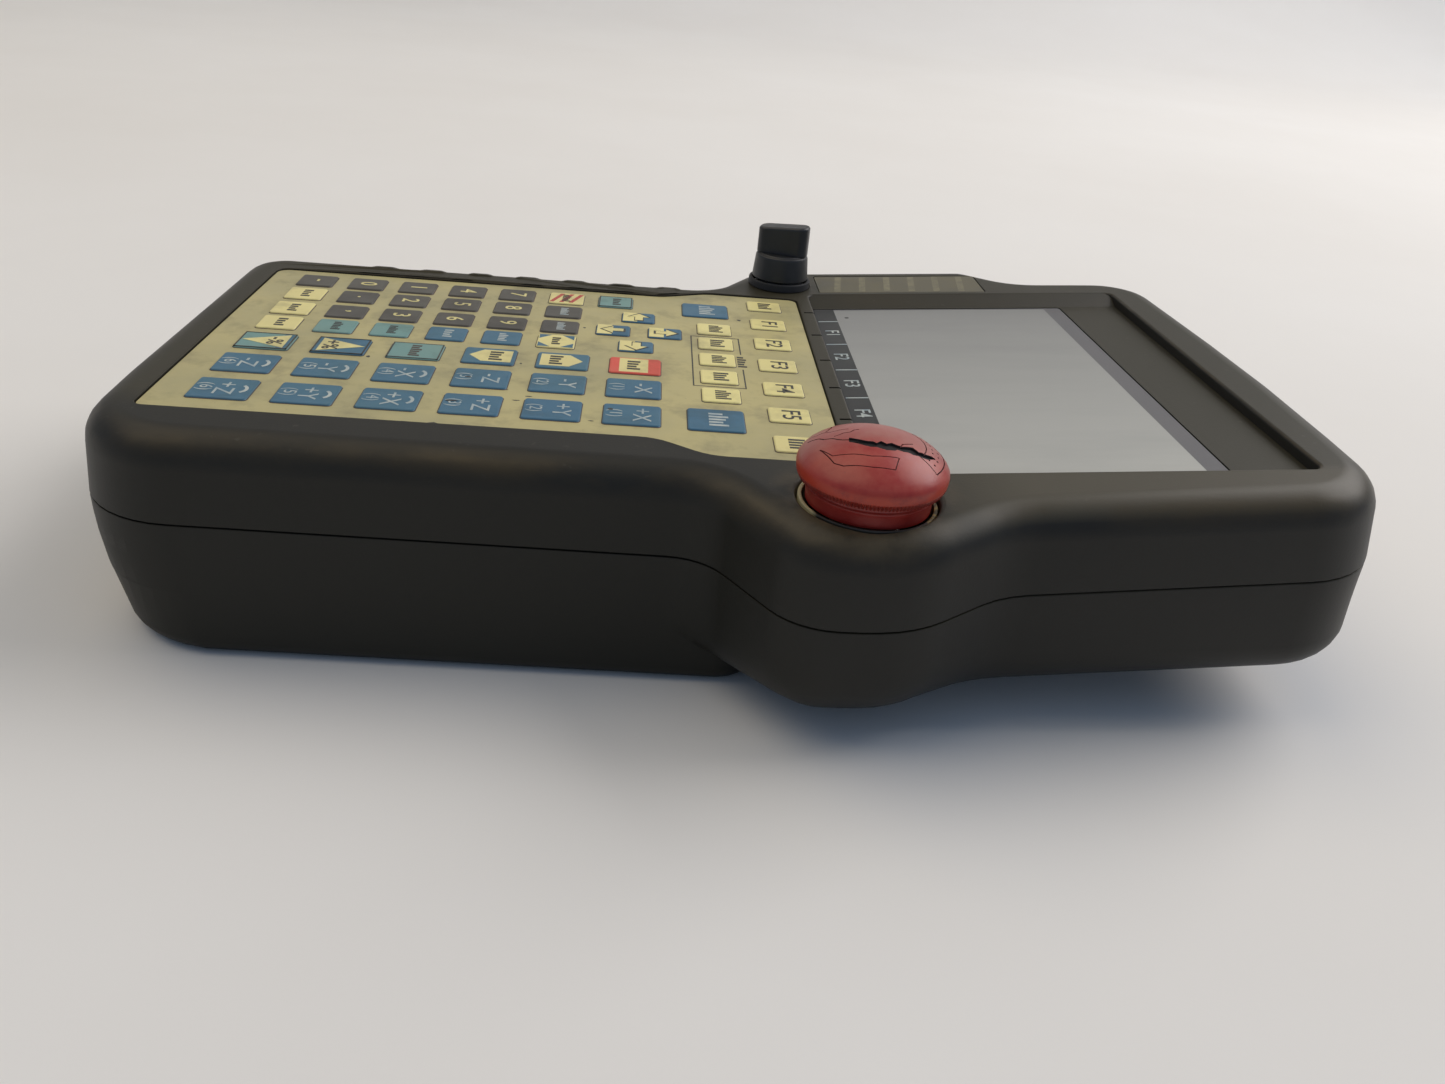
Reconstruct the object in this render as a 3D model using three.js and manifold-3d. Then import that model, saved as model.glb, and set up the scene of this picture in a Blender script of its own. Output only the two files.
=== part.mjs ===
// Hand-held pendant control station: a two-shell casing that is bent along a line between its keypad
// end and its raised display end, with a one-piece embossed key sheet, a display, a status strip, a
// latching stop button, a selector knob and two enabling levers on the back.
//
// Everything is drawn flat first, in millimetres, with z = 0 on the rim of the keypad: +X runs from the
// keypad end to the display end, +Y from the stop-button side to the selector side, +Z out of the face.
// Whatever lies past BEND_X is then sheared upwards by BEND_RISE, which gives the casing its kink.

import * as THREE from 'three';
import { mergeVertices } from 'three/addons/utils/BufferGeometryUtils.js';
import Module from 'manifold-3d';

const wasm = await Module();
wasm.setup();

// ---------------------------------------------------------------- driving dimensions

const GAP = 0.3;                    // clearance between neighbouring pieces
const WALL = 3;                     // casing wall
const BEND_X = 153;                 // where the display end starts to rise
const BEND_RISE = 0.081;            // rise of the display end per millimetre of length
const ORIGIN = [127, 43, -58];    // the part's origin in the flat frame: mid plan, on the back

const KEY_PITCH = 20;               // jog keys, along X
const SMALL_PITCH = 15.55;          // number keys, along X
const PARTING_Z = -22;              // joint between the two shells
const RIM_RADIUS = 8.5;             // rounding of the front shell's edge
const DISPLAY_BACK_Z = -50;         // back of the display end
const KEYPAD_BACK_Z = -58;          // back of the keypad end, which the pendant lies on
const BACK_RADIUS = 10;             // rounding of the display end's back edge
const KEYPAD_BACK_RADIUS = 5;       // rounding of the keypad end's back edge
const BUMP_ROUNDING = 1.6;          // the back edge of the stop button's bump is rounder by this factor
const LEFT_TAPER = 7;                 // how far the keypad end leans in from the parting line to the back
const RIGHT_TAPER = -2.5;           // the same for the display end, which leans outwards
const LEFT_FRONT_TAPER = 1.8;       // how far the keypad end leans in from the parting line to the rim
const RIGHT_FRONT_TAPER = 4;        // the same for the display end
const ARC_STEP = Math.PI / 8;       // one facet of a rounded corner

// Plan of the casing at the parting line, counter-clockwise: [x, y, corner radius].
const LEFT_X = -30.4;
const RIGHT_X = 285.2;
const NEAR_Y = -32;
const FAR_Y = 119.5;
const STOP_BUMP_Y = -62.5;
const SELECTOR_BUMP_Y = 148.5;
const LEFT_END = [[LEFT_X + 2, FAR_Y, 14], [LEFT_X - 0.3, 12, 300], [LEFT_X, NEAR_Y + 1, 26]];
const CASE_PLAN = [
  ...LEFT_END,
  [118.5, NEAR_Y - 1, 16],
  [138, STOP_BUMP_Y, 18],
  [165, STOP_BUMP_Y, 26],
  [187, -48, 24],
  [RIGHT_X - 2, -42.5, 24],
  [RIGHT_X, 30, 900],
  [RIGHT_X - 5.5, 132.5, 20],
  [232, 133.5, 16],
  [217, SELECTOR_BUMP_Y, 11],
  [139.5, SELECTOR_BUMP_Y, 18],
  [122.5, FAR_Y, 14],
];
const KEYPAD_PLAN = [...LEFT_END, [136, NEAR_Y - 1.12, 12], [136, FAR_Y, 12]];

const SHEET_DEPTH = 1.6;            // key sheet recess
const SHEET_THICKNESS = 0.8;
const SHEET_LEDGE = 2.5;            // width of the ledge that the sheet is stuck to
const KEY_HEIGHT = 0.6;             // how far a key stands out of the sheet
const SHEET_PLAN = [
  [-15.5, -13.4, 4],
  [106, -13.4, 14],
  [119, -22, 14],
  [152.4, -22, 3],
  [152.4, 110.8, 3],
  [122, 110.8, 14],
  [107, 104, 14],
  [-15.5, 104, 4],
];

// Display recess: its far wall slopes down to y = foot, and its right wall runs from nearX1 to farX1.
const RECESS = { x0: 157, nearX1: 265, farX1: 261, y0: -27.5, y1: 116, foot: 109.5, depth: 3, corner: 2.5 };
const WINDOW = { x0: 158, x1: 245.5, y0: -26.5, y1: 109.1, thickness: 2.1 };
const LABEL = { x0: 161, x1: 218.5, y0: 118.6, y1: 138.4, depth: 0.9 }; // status strip

const STOP = { x: 154, y: -40.5, hole: 16.2, land: 20 };    // land: solid rim left round the hole
const SELECTOR = { x: 147.8, y: 127, hole: 6.3, seat: 10.9 };
const HANDLE = { half: 8.6, thin: 4.1, z0: 11.2, z1: 21.2, turn: -0.29 };   // knob handle; turn in radians
const MID_Y = 43;                   // the levers are mirrored about this line
const LEVER = { x0: 159, x1: 227, y0: -33, y1: -11, pinY: -15, pinZ: -44, pinR: 1.5, plungerY: -28 };
const SCREWS = [[13.5, -24.8], [13.5, 112.6], [112, -24.8], [112, 112.6], [268, -29], [264, 119]];
const SCREW_SEAT_Z = -30;
const INLET = { y: 43.5, z: -39, face: -17, bore: 5 };

// ---------------------------------------------------------------- materials

function material(color, roughness, metalness = 0) {
  return new THREE.MeshStandardMaterial({ color, roughness, metalness });
}
const SHELL = material(0x4a4842, 0.55);
const SHEET = material(0xd9cf9f, 0.5);
const CLEAR = material(0xb9c2c4, 0.15);
const SCREEN = material(0xa9b1b0, 0.3);
const BOARD = material(0x1f5a38, 0.6);
const STEEL = material(0xa8abad, 0.35, 1);
const BRASS = material(0xb59a55, 0.35, 1);
const BLACK = material(0x1a1b1d, 0.45);
const RED = material(0xb32a26, 0.45);
const YELLOW = material(0xd8b93a, 0.5);
const GREY = material(0x6b6d6f, 0.6);
const RUBBER = material(0x26272a, 0.85);

// ---------------------------------------------------------------- solids

// A geometry as a manifold solid: only positions are kept, and shared corners are merged.
function solid(geometry) {
  const bare = new THREE.BufferGeometry();
  bare.setAttribute('position', geometry.getAttribute('position'));
  if (geometry.index) bare.setIndex(geometry.index);
  const merged = mergeVertices(bare, 1e-4);
  return new wasm.Manifold(new wasm.Mesh({
    numProp: 3,
    vertProperties: new Float32Array(merged.getAttribute('position').array),
    triVerts: new Uint32Array(merged.index.array),
  }));
}

function geometryOf(manifold) {
  const mesh = manifold.getMesh();
  const geometry = new THREE.BufferGeometry();
  geometry.setAttribute('position', new THREE.BufferAttribute(mesh.vertProperties, 3));
  geometry.setIndex(new THREE.BufferAttribute(mesh.triVerts, 1));
  return geometry;
}

function union(...solids) {
  return solids.reduce((whole, piece) => whole.add(piece));
}

function cut(body, ...tools) {
  return tools.reduce((left, tool) => left.subtract(tool), body);
}

function box(x0, x1, y0, y1, z0, z1) {
  const geometry = new THREE.BoxGeometry(x1 - x0, y1 - y0, z1 - z0);
  return solid(geometry.translate((x0 + x1) / 2, (y0 + y1) / 2, (z0 + z1) / 2));
}

// A body turned about a vertical axis at (x, y); profile is a closed loop of [radius, z].
function turned(x, y, profile, sides = 32) {
  const points = profile.map(([radius, z]) => new THREE.Vector2(radius, z));
  if (profile[0][0] > 0) points.push(points[0].clone());
  const geometry = new THREE.LatheGeometry(points, sides).rotateX(Math.PI / 2);
  return solid(geometry.translate(x, y, 0));
}

function rod(x, y, radius, z0, z1, sides = 20) {
  return turned(x, y, [[0, z0], [radius, z0], [radius, z1], [0, z1]], sides);
}

function tube(x, y, inner, outer, z0, z1, sides = 32) {
  return turned(x, y, [[inner, z0], [outer, z0], [outer, z1], [inner, z1]], sides);
}

// The same turned body lying along X, with its profile given as [radius, x].
function turnedAlongX(y, z, profile, sides = 24) {
  const points = profile.map(([radius, x]) => new THREE.Vector2(radius, x));
  if (profile[0][0] > 0) points.push(points[0].clone());
  const geometry = new THREE.LatheGeometry(points, sides).rotateZ(-Math.PI / 2);
  return solid(geometry.translate(0, y, z));
}

// A hexagonal nut across corners 2 * outer, with a round hole.
function nut(x, y, inner, outer, z0, z1) {
  return rod(x, y, outer, z0, z1, 6).subtract(rod(x, y, inner, z0 - 1, z1 + 1, 24));
}

function rodAlongX(y, z, radius, x0, x1, sides = 16) {
  return turnedAlongX(y, z, [[0, x0], [radius, x0], [radius, x1], [0, x1]], sides);
}

// A coil spring standing at (x, y).
function coil(x, y, radius, wire, z0, z1, turns) {
  const low = z0 + wire;
  const rise = z1 - z0 - 2 * wire;
  const points = [];
  const steps = turns * 8;
  for (let i = 0; i <= steps; i += 1) {
    const angle = (i / steps) * turns * 2 * Math.PI;
    points.push(new THREE.Vector3(
      x + radius * Math.cos(angle), y + radius * Math.sin(angle), low + (rise * i) / steps,
    ));
  }
  const section = new THREE.Shape();
  section.absarc(0, 0, wire, 0, 2 * Math.PI);
  return solid(new THREE.ExtrudeGeometry(section, {
    curveSegments: 3,
    steps,
    extrudePath: new THREE.CatmullRomCurve3(points),
  }));
}

// ---------------------------------------------------------------- rounded plans and lofts

// Points round a plan with rounded corners, each with its outward normal.
function roundedPlan(corners) {
  const points = [];
  corners.forEach(([x, y, radius], i) => {
    const [px, py] = corners[(i + corners.length - 1) % corners.length];
    const [nx, ny] = corners[(i + 1) % corners.length];
    const into = new THREE.Vector2(x - px, y - py).normalize();
    const out = new THREE.Vector2(nx - x, ny - y).normalize();
    const turn = Math.atan2(into.cross(out), into.dot(out));
    const tangent = radius * Math.tan(Math.abs(turn) / 2);
    const side = Math.sign(turn);
    const centre = new THREE.Vector2(
      x - into.x * tangent - into.y * radius * side,
      y - into.y * tangent + into.x * radius * side,
    );
    const steps = Math.max(1, Math.round(Math.abs(turn) / ARC_STEP));
    for (let k = 0; k <= steps; k += 1) {
      const along = into.clone().rotateAround(new THREE.Vector2(), (turn * k) / steps);
      const normal = new THREE.Vector2(along.y, -along.x);
      points.push({
        x: centre.x + normal.x * radius * side,
        y: centre.y + normal.y * radius * side,
        normal,
      });
    }
  });
  return points;
}

// How much rounder the back edge is at a plan point: BUMP_ROUNDING on the stop button's bump, 1 elsewhere.
function rounder(y) {
  return 1 + (BUMP_ROUNDING - 1) * THREE.MathUtils.smoothstep(-y, 44, 58);
}

// The plan at height z, moved in by inset, with each end leaning in. Where a level belongs to a rounded
// back edge, round = { inset, z } holds the part of inset and z that the rounding makes.
function ring(plan, { inset, z, left = 0, right = 0, round = { inset: 0, z: 0 } }) {
  return plan.map(({ x, y, normal }) => {
    const more = rounder(y) - 1;
    const inwards = inset + more * round.inset;
    let shift = 0;
    if (x < 0) shift = left;
    if (x > 255) shift = -right;
    return new THREE.Vector3(x - normal.x * inwards + shift, y - normal.y * inwards, z + more * round.z);
  });
}

// A closed body through rings given from the lowest to the highest.
function loft(plan, levels) {
  const rings = levels.map((level) => ring(plan, level));
  const count = plan.length;
  const positions = rings.flat().flatMap((p) => [p.x, p.y, p.z]);
  const index = [];
  for (let level = 0; level + 1 < rings.length; level += 1) {
    for (let i = 0; i < count; i += 1) {
      const a = level * count + i;
      const b = level * count + ((i + 1) % count);
      index.push(a, b, b + count, a, b + count, a + count);
    }
  }
  const flat = (points) => points.map((p) => new THREE.Vector2(p.x, p.y));
  const top = (rings.length - 1) * count;
  for (const [a, b, c] of THREE.ShapeUtils.triangulateShape(flat(rings[0]), [])) index.push(c, b, a);
  for (const [a, b, c] of THREE.ShapeUtils.triangulateShape(flat(rings.at(-1)), [])) {
    index.push(top + a, top + b, top + c);
  }
  const geometry = new THREE.BufferGeometry();
  geometry.setAttribute('position', new THREE.Float32BufferAttribute(positions, 3));
  geometry.setIndex(index);
  return solid(geometry);
}

function slab(corners, inset, z0, z1) {
  return loft(roundedPlan(corners), [{ inset, z: z0 }, { inset, z: z1 }]);
}

// Levels of a rounded edge of the given radius: outwards at low z for a front, at high z for a back.
function roundedFront(base, radius, z0, z1, steps = 4) {
  const level = (inset, z) => {
    const lean = THREE.MathUtils.clamp(1 - z / PARTING_Z, 0, 1);
    return { inset, z, left: LEFT_FRONT_TAPER * lean, right: RIGHT_FRONT_TAPER * lean };
  };
  const levels = [level(base, z0)];
  for (let k = 0; k <= steps; k += 1) {
    const angle = (k / steps) * (Math.PI / 2);
    levels.push(level(base + radius * (1 - Math.cos(angle)), z1 - radius * (1 - Math.sin(angle))));
  }
  return levels;
}

function roundedBack(base, radius, z0, z1, steps = 3) {
  const level = (inset, z, round) => {
    const lean = (Math.max(0, PARTING_Z - z) / (PARTING_Z - KEYPAD_BACK_Z)) ** 2;
    return { inset, z, left: LEFT_TAPER * lean, right: RIGHT_TAPER * lean, round };
  };
  const levels = [];
  for (let k = steps; k >= 0; k -= 1) {
    const angle = (k / steps) * (Math.PI / 2);
    const inwards = radius * (1 - Math.cos(angle));
    const upwards = radius * (1 - Math.sin(angle));
    levels.push(level(base + inwards, z0 + upwards, { inset: inwards, z: upwards }));
  }
  levels.push(level(base, (z0 + radius + 2 * z1) / 3));
  levels.push(level(base, z1));
  return levels;
}

// ---------------------------------------------------------------- the bend

const FAR = 600;

function shear(manifold) {
  const geometry = geometryOf(manifold);
  const position = geometry.getAttribute('position');
  for (let i = 0; i < position.count; i += 1) {
    const past = Math.max(0, position.getX(i) - BEND_X);
    position.setZ(i, position.getZ(i) + BEND_RISE * past);
  }
  return solid(geometry);
}

function bend(manifold) {
  const before = manifold.intersect(box(-FAR, BEND_X, -FAR, FAR, -FAR, FAR));
  const after = manifold.intersect(box(BEND_X, FAR, -FAR, FAR, -FAR, FAR));
  return before.add(shear(after));
}

// ---------------------------------------------------------------- the pieces

const pendant = new THREE.Group();
const model = new THREE.Group();
model.position.set(-ORIGIN[0], -ORIGIN[1], -ORIGIN[2]);
pendant.add(model);

function piece(name, body, finish) {
  const mesh = new THREE.Mesh(geometryOf(body), finish);
  mesh.name = name;
  model.add(mesh);
}

const casePlan = roundedPlan(CASE_PLAN);
const keypadPlan = roundedPlan(KEYPAD_PLAN);

function grooveRing(inner, outer, z0, z1) {
  const outside = loft(casePlan, [{ inset: outer, z: z0 }, { inset: outer, z: z1 }]);
  return outside.subtract(loft(casePlan, [{ inset: inner, z: z0 - 1 }, { inset: inner, z: z1 + 1 }]));
}

// Raised grip ribs over the far edge of the keypad end, next to the hand that holds it.
function gripRibs() {
  const proud = loft(casePlan, roundedFront(-0.7, RIM_RADIUS, PARTING_Z + 6, 0.5));
  const ribs = [];
  for (let x = 12; x < 112; x += SMALL_PITCH) {
    ribs.push(proud.intersect(box(x, x + 8, FAR_Y - 8, FAR_Y + 5, PARTING_Z, 5)));
  }
  return ribs;
}

// The display recess with its sloping far wall, left solid where the stop button stands.
function displayRecess(land) {
  const corners = [
    [RECESS.x0, RECESS.y0, RECESS.corner],
    [RECESS.nearX1, RECESS.y0, RECESS.corner],
    [RECESS.farX1, RECESS.y1, RECESS.corner],
    [RECESS.x0, RECESS.y1, RECESS.corner],
  ];
  const slope = new THREE.Shape([
    new THREE.Vector2(RECESS.foot, -RECESS.depth),
    new THREE.Vector2(RECESS.foot, -RECESS.depth - 2),
    new THREE.Vector2(RECESS.y1 + 2, -RECESS.depth - 2),
    new THREE.Vector2(RECESS.y1 + 2, 0),
    new THREE.Vector2(RECESS.y1, 0),
  ]);
  const wedge = new THREE.ExtrudeGeometry(slope, { depth: 200, bevelEnabled: false });
  wedge.rotateX(Math.PI / 2).rotateZ(Math.PI / 2).translate(RECESS.x0 - 20, 0, 0);
  return cut(slab(corners, 0, -RECESS.depth, 5), solid(wedge), land);
}

function frontCase() {
  const outer = loft(casePlan, roundedFront(0, RIM_RADIUS, PARTING_Z, 0));
  const hollow = loft(casePlan, roundedFront(WALL, RIM_RADIUS - WALL, PARTING_Z - 1, -3.6, 2));
  const inside = [
    box(RECESS.x0 - 2, RECESS.nearX1 + 2, RECESS.y0 - 3, RECESS.foot + 3, -8, -3),
    rod(STOP.x, STOP.y, STOP.hole + 2.2, -8, -3, 32),
    ...SCREWS.map(([x, y]) => rod(x, y, 4.5, PARTING_Z, -3, 12)),
  ];
  const land = rod(STOP.x, STOP.y, STOP.land, -12, 6, 28);
  const openings = [
    slab(SHEET_PLAN, 0, -SHEET_DEPTH, 5),
    slab(SHEET_PLAN, SHEET_LEDGE, -10, 5),
    displayRecess(land),
    plate(WINDOW, -GAP, -5.4, 0).subtract(land),
    plate(WINDOW, 3, -10, 0).subtract(land),
    box(LABEL.x0, LABEL.x1, LABEL.y0, LABEL.y1, -LABEL.depth, 5),
    box(LABEL.x0 + 4, LABEL.x1 - 4, LABEL.y0 + 5, LABEL.y1 - 5, -10, 5),
    rod(STOP.x, STOP.y, STOP.hole, -12, 5, 32),
    rod(SELECTOR.x, SELECTOR.y, SELECTOR.hole, -12, 5, 24),
    ...SCREWS.map(([x, y]) => rod(x, y, 1.8, PARTING_Z - 1, -9, 8)),
    grooveRing(WALL - 0.7, 0.7, PARTING_Z - 1, PARTING_Z + 1.1),
  ];
  const shell = union(outer.subtract(hollow), union(...inside).intersect(outer), ...gripRibs());
  return bend(cut(shell, ...openings)).subtract(rod(SELECTOR.x, SELECTOR.y, SELECTOR.seat, 0, 9, 28));
}

function rearCase() {
  const top = PARTING_Z - GAP;
  const outer = union(
    loft(casePlan, roundedBack(0, BACK_RADIUS, DISPLAY_BACK_Z, top)),
    loft(keypadPlan, roundedBack(0, KEYPAD_BACK_RADIUS, KEYPAD_BACK_Z, top)),
  );
  const hollow = union(
    loft(casePlan, roundedBack(WALL, BACK_RADIUS - WALL, DISPLAY_BACK_Z + WALL, top + 1, 2)),
    loft(keypadPlan, roundedBack(WALL, KEYPAD_BACK_RADIUS - WALL, KEYPAD_BACK_Z + WALL, top + 1, 2)),
  );
  const mirrored = (y) => 2 * MID_Y - y;
  const pocketFloor = DISPLAY_BACK_Z + 10;
  const rooted = DISPLAY_BACK_Z + WALL - 1;     // where what stands on the display end's back begins
  const inside = [
    box(LEVER.x0 - 5, LEVER.x1 + 5, LEVER.y0 - 4, LEVER.y1 + 4, rooted, pocketFloor + 2.5),
    box(LEVER.x0 - 5, LEVER.x1 + 5, mirrored(LEVER.y1 + 4), mirrored(LEVER.y0 - 4), rooted, pocketFloor + 2.5),
    box(LEFT_X + 4, -12, INLET.y - 15, INLET.y + 15, -54, -24),
    ...SCREWS.map(([x, y]) => rod(x, y, 6.5, x < BEND_X ? KEYPAD_BACK_Z + WALL - 1 : rooted, top, 12)),
  ];
  const openings = [
    box(LEVER.x0 - 1, LEVER.x1 + 1, LEVER.y0 - 1, LEVER.y1 + 1, -70, pocketFloor),
    box(LEVER.x0 - 1, LEVER.x1 + 1, mirrored(LEVER.y1 + 1), mirrored(LEVER.y0 - 1), -70, pocketFloor),
    rodAlongX(LEVER.pinY, LEVER.pinZ, LEVER.pinR + GAP, LEVER.x0 - 3.5, LEVER.x1 + 3.5),
    rodAlongX(mirrored(LEVER.pinY), LEVER.pinZ, LEVER.pinR + GAP, LEVER.x0 - 3.5, LEVER.x1 + 3.5),
    ...leverCentres().map(([x, y]) => rod(x, y, 2.9, -44, -30, 16)),
    rodAlongX(INLET.y, INLET.z, 12.6, -60, INLET.face, 28),
    rodAlongX(INLET.y, INLET.z, 7.3, -60, 0, 24),
    ...SCREWS.map(([x, y]) => rod(x, y, 4.5, -70, SCREW_SEAT_Z, 16)),
    ...SCREWS.map(([x, y]) => rod(x, y, 1.8, -70, 0, 8)),
    grooveRing(WALL - 0.7, 0.7, top - 1.1, top + 1),
  ];
  const shell = union(outer.subtract(hollow), union(...inside).intersect(outer));
  return bend(cut(shell, ...openings));
}

function leverCentres() {
  const x = (LEVER.x0 + LEVER.x1) / 2;
  return [[x, LEVER.plungerY], [x, 2 * MID_Y - LEVER.plungerY]];
}

// ---------------------------------------------------------------- keypad

// Every key as [centre x, centre y, size x, size y].
function keyPlaces() {
  const rowY = { plus: 0, minus: 18.4, special: 35.6, r4: 51.6, r3: 65.1, r2: 79.5, r1: 93.3 };
  const keys = [];
  for (let column = 0; column < 6; column += 1) {
    keys.push([column * KEY_PITCH, rowY.plus, 14.5, 13]);
    keys.push([column * KEY_PITCH, rowY.minus, 14.5, 13]);
    keys.push([column * KEY_PITCH, rowY.special, 14.2, 12.2]);
    for (const row of ['r1', 'r2', 'r3', 'r4']) {
      keys.push([column * SMALL_PITCH - 0.84, rowY[row], 10.8, 10.8]);
    }
  }
  keys.push([6 * SMALL_PITCH - 0.84, rowY.r1, 10.8, 10.8]);
  for (const [x, y] of [[100, 78.9], [92.7, 65.4], [108.2, 65.6], [99.8, 52]]) keys.push([x, y, 10, 9]);
  keys.push([121, 91, 14.5, 13], [121.3, 0.1, 14.5, 14]);
  for (const y of [72.8, 59.4, 45.5, 31.4, 17.6]) keys.push([122.5, y, 10.3, 9.7]);
  for (let i = 0; i < 7; i += 1) keys.push([140.3, 100 - 18.7 * i, 10.3, 9.4]);
  return keys;
}

function keySheet() {
  const low = -SHEET_DEPTH + GAP;
  const film = slab(SHEET_PLAN, GAP, low, low + SHEET_THICKNESS);
  const keys = keyPlaces().map(([x, y, w, h]) => (
    box(x - w / 2, x + w / 2, y - h / 2, y + h / 2, low + 0.3, low + SHEET_THICKNESS + KEY_HEIGHT)
  ));
  return union(film, ...keys);
}

function addKeypad() {
  piece('key_sheet', keySheet(), SHEET);
  const boardZ = -5.4;
  piece('key_board', slab(SHEET_PLAN, 1.5, boardZ, boardZ + 1.5), BOARD);
  piece('key_board_shield', slab(SHEET_PLAN, SHEET_LEDGE, boardZ - 1.1, boardZ - GAP), STEEL);
}

// ---------------------------------------------------------------- display and status strip

function plate(area, margin, z0, z1) {
  return box(area.x0 + margin, area.x1 - margin, area.y0 + margin, area.y1 - margin, z0, z1);
}

function addDisplay() {
  const top = -RECESS.depth - 0.1;
  const corner = rod(STOP.x, STOP.y, STOP.land + 2 * GAP, -12, 6, 28);
  const pane = plate(WINDOW, 0, top - WINDOW.thickness, top).subtract(corner);
  piece('display_window', shear(pane), CLEAR);
  const frame = plate(WINDOW, 1, -10.6, -8.3);
  piece('lcd_frame', shear(frame.subtract(plate(WINDOW, 4, -12, -7))), STEEL);
  piece('lcd_glass', shear(plate(WINDOW, 4.3, -10.4, -8.5)), SCREEN);
  piece('lcd_backlight', shear(plate(WINDOW, 3, -14.4, -10.9)), CLEAR);
  piece('lcd_board', shear(plate(WINDOW, 1, -16.4, -14.8)), BOARD);
}

function addStatusStrip() {
  piece('status_label', shear(plate(LABEL, GAP, -0.6, -0.1)), SHEET);
  const pipe = plate(LABEL, 4.4, -8.4, -0.9);
  const narrow = box(LABEL.x0, LABEL.x1, LABEL.y0 + 5.4, LABEL.y1 - 5.4, -20, 5);
  piece('status_light_pipe', shear(pipe.intersect(narrow)), CLEAR);
  piece('status_board', shear(plate(LABEL, 3, -10.4, -8.8)), BOARD);
}

// ---------------------------------------------------------------- stop button

function addStopButton() {
  const { x, y } = STOP;
  const head = turned(x, y, [
    [0, 5.6], [5.3, 5.6], [5.3, 0], [14.1, 0], [14.1, 2.8], [14.6, 3.8], [16, 4.7],
    [17.1, 6.9], [17.1, 8.3], [16.4, 9.9], [14.6, 11.7], [11.6, 13.4], [7.9, 14.8], [0, 16],
  ], 28);
  piece('stop_head', head, RED);
  piece('stop_stem', turned(x, y, [
    [0, -27], [4.2, -27], [4.2, -14], [5, -13], [5, 5.3], [0, 5.3],
  ], 16), STEEL);
  piece('stop_legend_ring', tube(x, y, 15, 15.9, -7.2, -0.6, 32), YELLOW);
  piece('stop_spring', coil(x, y, 7.6, 0.6, -11.6, -1.2, 4), STEEL);
  piece('stop_bushing', turned(x, y, [
    [5.4, -25], [9, -25], [9, -14.2], [12, -14.2], [12, -11.9], [5.4, -11.9],
  ], 20), BLACK);
  const bracket = box(x - 15, x + 15, y - 13.5, y + 11.5, -15.8, -14.5);
  piece('stop_bracket', bracket.subtract(rod(x, y, 9.4, -20, -10, 20)), STEEL);
  piece('stop_nut', nut(x, y, 9.4, 12.5, -19, -16.1), BRASS);
  const block = box(x - 11, x + 11, y - 11, y + 11, -36, -25.4);
  piece('stop_contact_block', block.subtract(rod(x, y, 4.7, -32, -20, 16)), BLACK);
}

// ---------------------------------------------------------------- selector knob

function addSelector() {
  const { x, y } = SELECTOR;
  piece('selector_bezel', tube(x, y, 9.4, 10.6, GAP, 2.6, 28), BLACK);
  piece('selector_nut', nut(x, y, 6.4, 9, GAP, 2.4), STEEL);
  const skirt = turned(x, y, [[0, 3], [9.6, 3], [8.8, 10.8], [8, 11.1], [8, 11.6], [0, 11.6]], 24);
  const block = new THREE.BoxGeometry(2 * HANDLE.half, 2 * HANDLE.thin, HANDLE.z1 - HANDLE.z0);
  const handle = solid(block.rotateZ(HANDLE.turn).translate(x, y, (HANDLE.z0 + HANDLE.z1) / 2));
  piece('selector_knob', union(skirt, handle).subtract(rod(x, y, 3.3, 0, 15, 16)), BLACK);
  piece('selector_shaft', rod(x, y, 3, -22, 14.7, 16), STEEL);
  const body = union(
    box(x - 8, x + 8, y - 14, y + 6, -30, -12),
    rod(x, y, 6, -13, 1.6, 20),
  );
  piece('selector_switch', body.subtract(rod(x, y, 3.3, -23, 5, 16)), BLACK);
}

// ---------------------------------------------------------------- enabling levers

// Drawn on the near side; the other one is its mirror image about MID_Y.
function leverSide(flip) {
  const x = (LEVER.x0 + LEVER.x1) / 2;
  const at = (y) => (flip ? 2 * MID_Y - y : y);
  const block = (x0, x1, y0, y1, z0, z1) => {
    const [low, high] = [at(y0), at(y1)].sort((a, b) => a - b);
    return box(x0, x1, low, high, z0, z1);
  };
  const grip = [
    block(LEVER.x0, LEVER.x1, LEVER.y0, LEVER.y1, -51, -48),
    block(LEVER.x0 + 2, LEVER.x1 - 2, LEVER.y0 + 2, LEVER.y1 - 5, -53, -50.5),
    block(LEVER.x0, LEVER.x0 + 5, LEVER.pinY - 3, LEVER.pinY + 3, -49, -41.2),
    block(LEVER.x1 - 5, LEVER.x1, LEVER.pinY - 3, LEVER.pinY + 3, -49, -41.2),
  ];
  const bore = rodAlongX(at(LEVER.pinY), LEVER.pinZ, LEVER.pinR + GAP, LEVER.x0 - 5, LEVER.x1 + 5);
  const plungerY = at(LEVER.plungerY);
  const body = block(x - 12, x + 12, LEVER.plungerY - 5, LEVER.plungerY + 5, -37.1, -24);
  return {
    lever: shear(union(...grip).subtract(bore)),
    pin: shear(rodAlongX(at(LEVER.pinY), LEVER.pinZ, LEVER.pinR, LEVER.x0 - 3, LEVER.x1 + 3)),
    plunger: shear(rod(x, plungerY, 2.4, -47.4, -32, 16)),
    spring: shear(coil(x, plungerY, 4, 0.5, -47.4, -40.4, 3)),
    switch: shear(body.subtract(rod(x, plungerY, 2.8, -40, -28, 16))),
  };
}

function addLevers() {
  for (const [side, flip] of [['near', false], ['far', true]]) {
    const parts = leverSide(flip);
    piece(`enable_lever_${side}`, parts.lever, GREY);
    piece(`enable_pin_${side}`, parts.pin, STEEL);
    piece(`enable_plunger_${side}`, parts.plunger, BLACK);
    piece(`enable_spring_${side}`, parts.spring, STEEL);
    piece(`enable_switch_${side}`, parts.switch, BLACK);
  }
}

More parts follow.
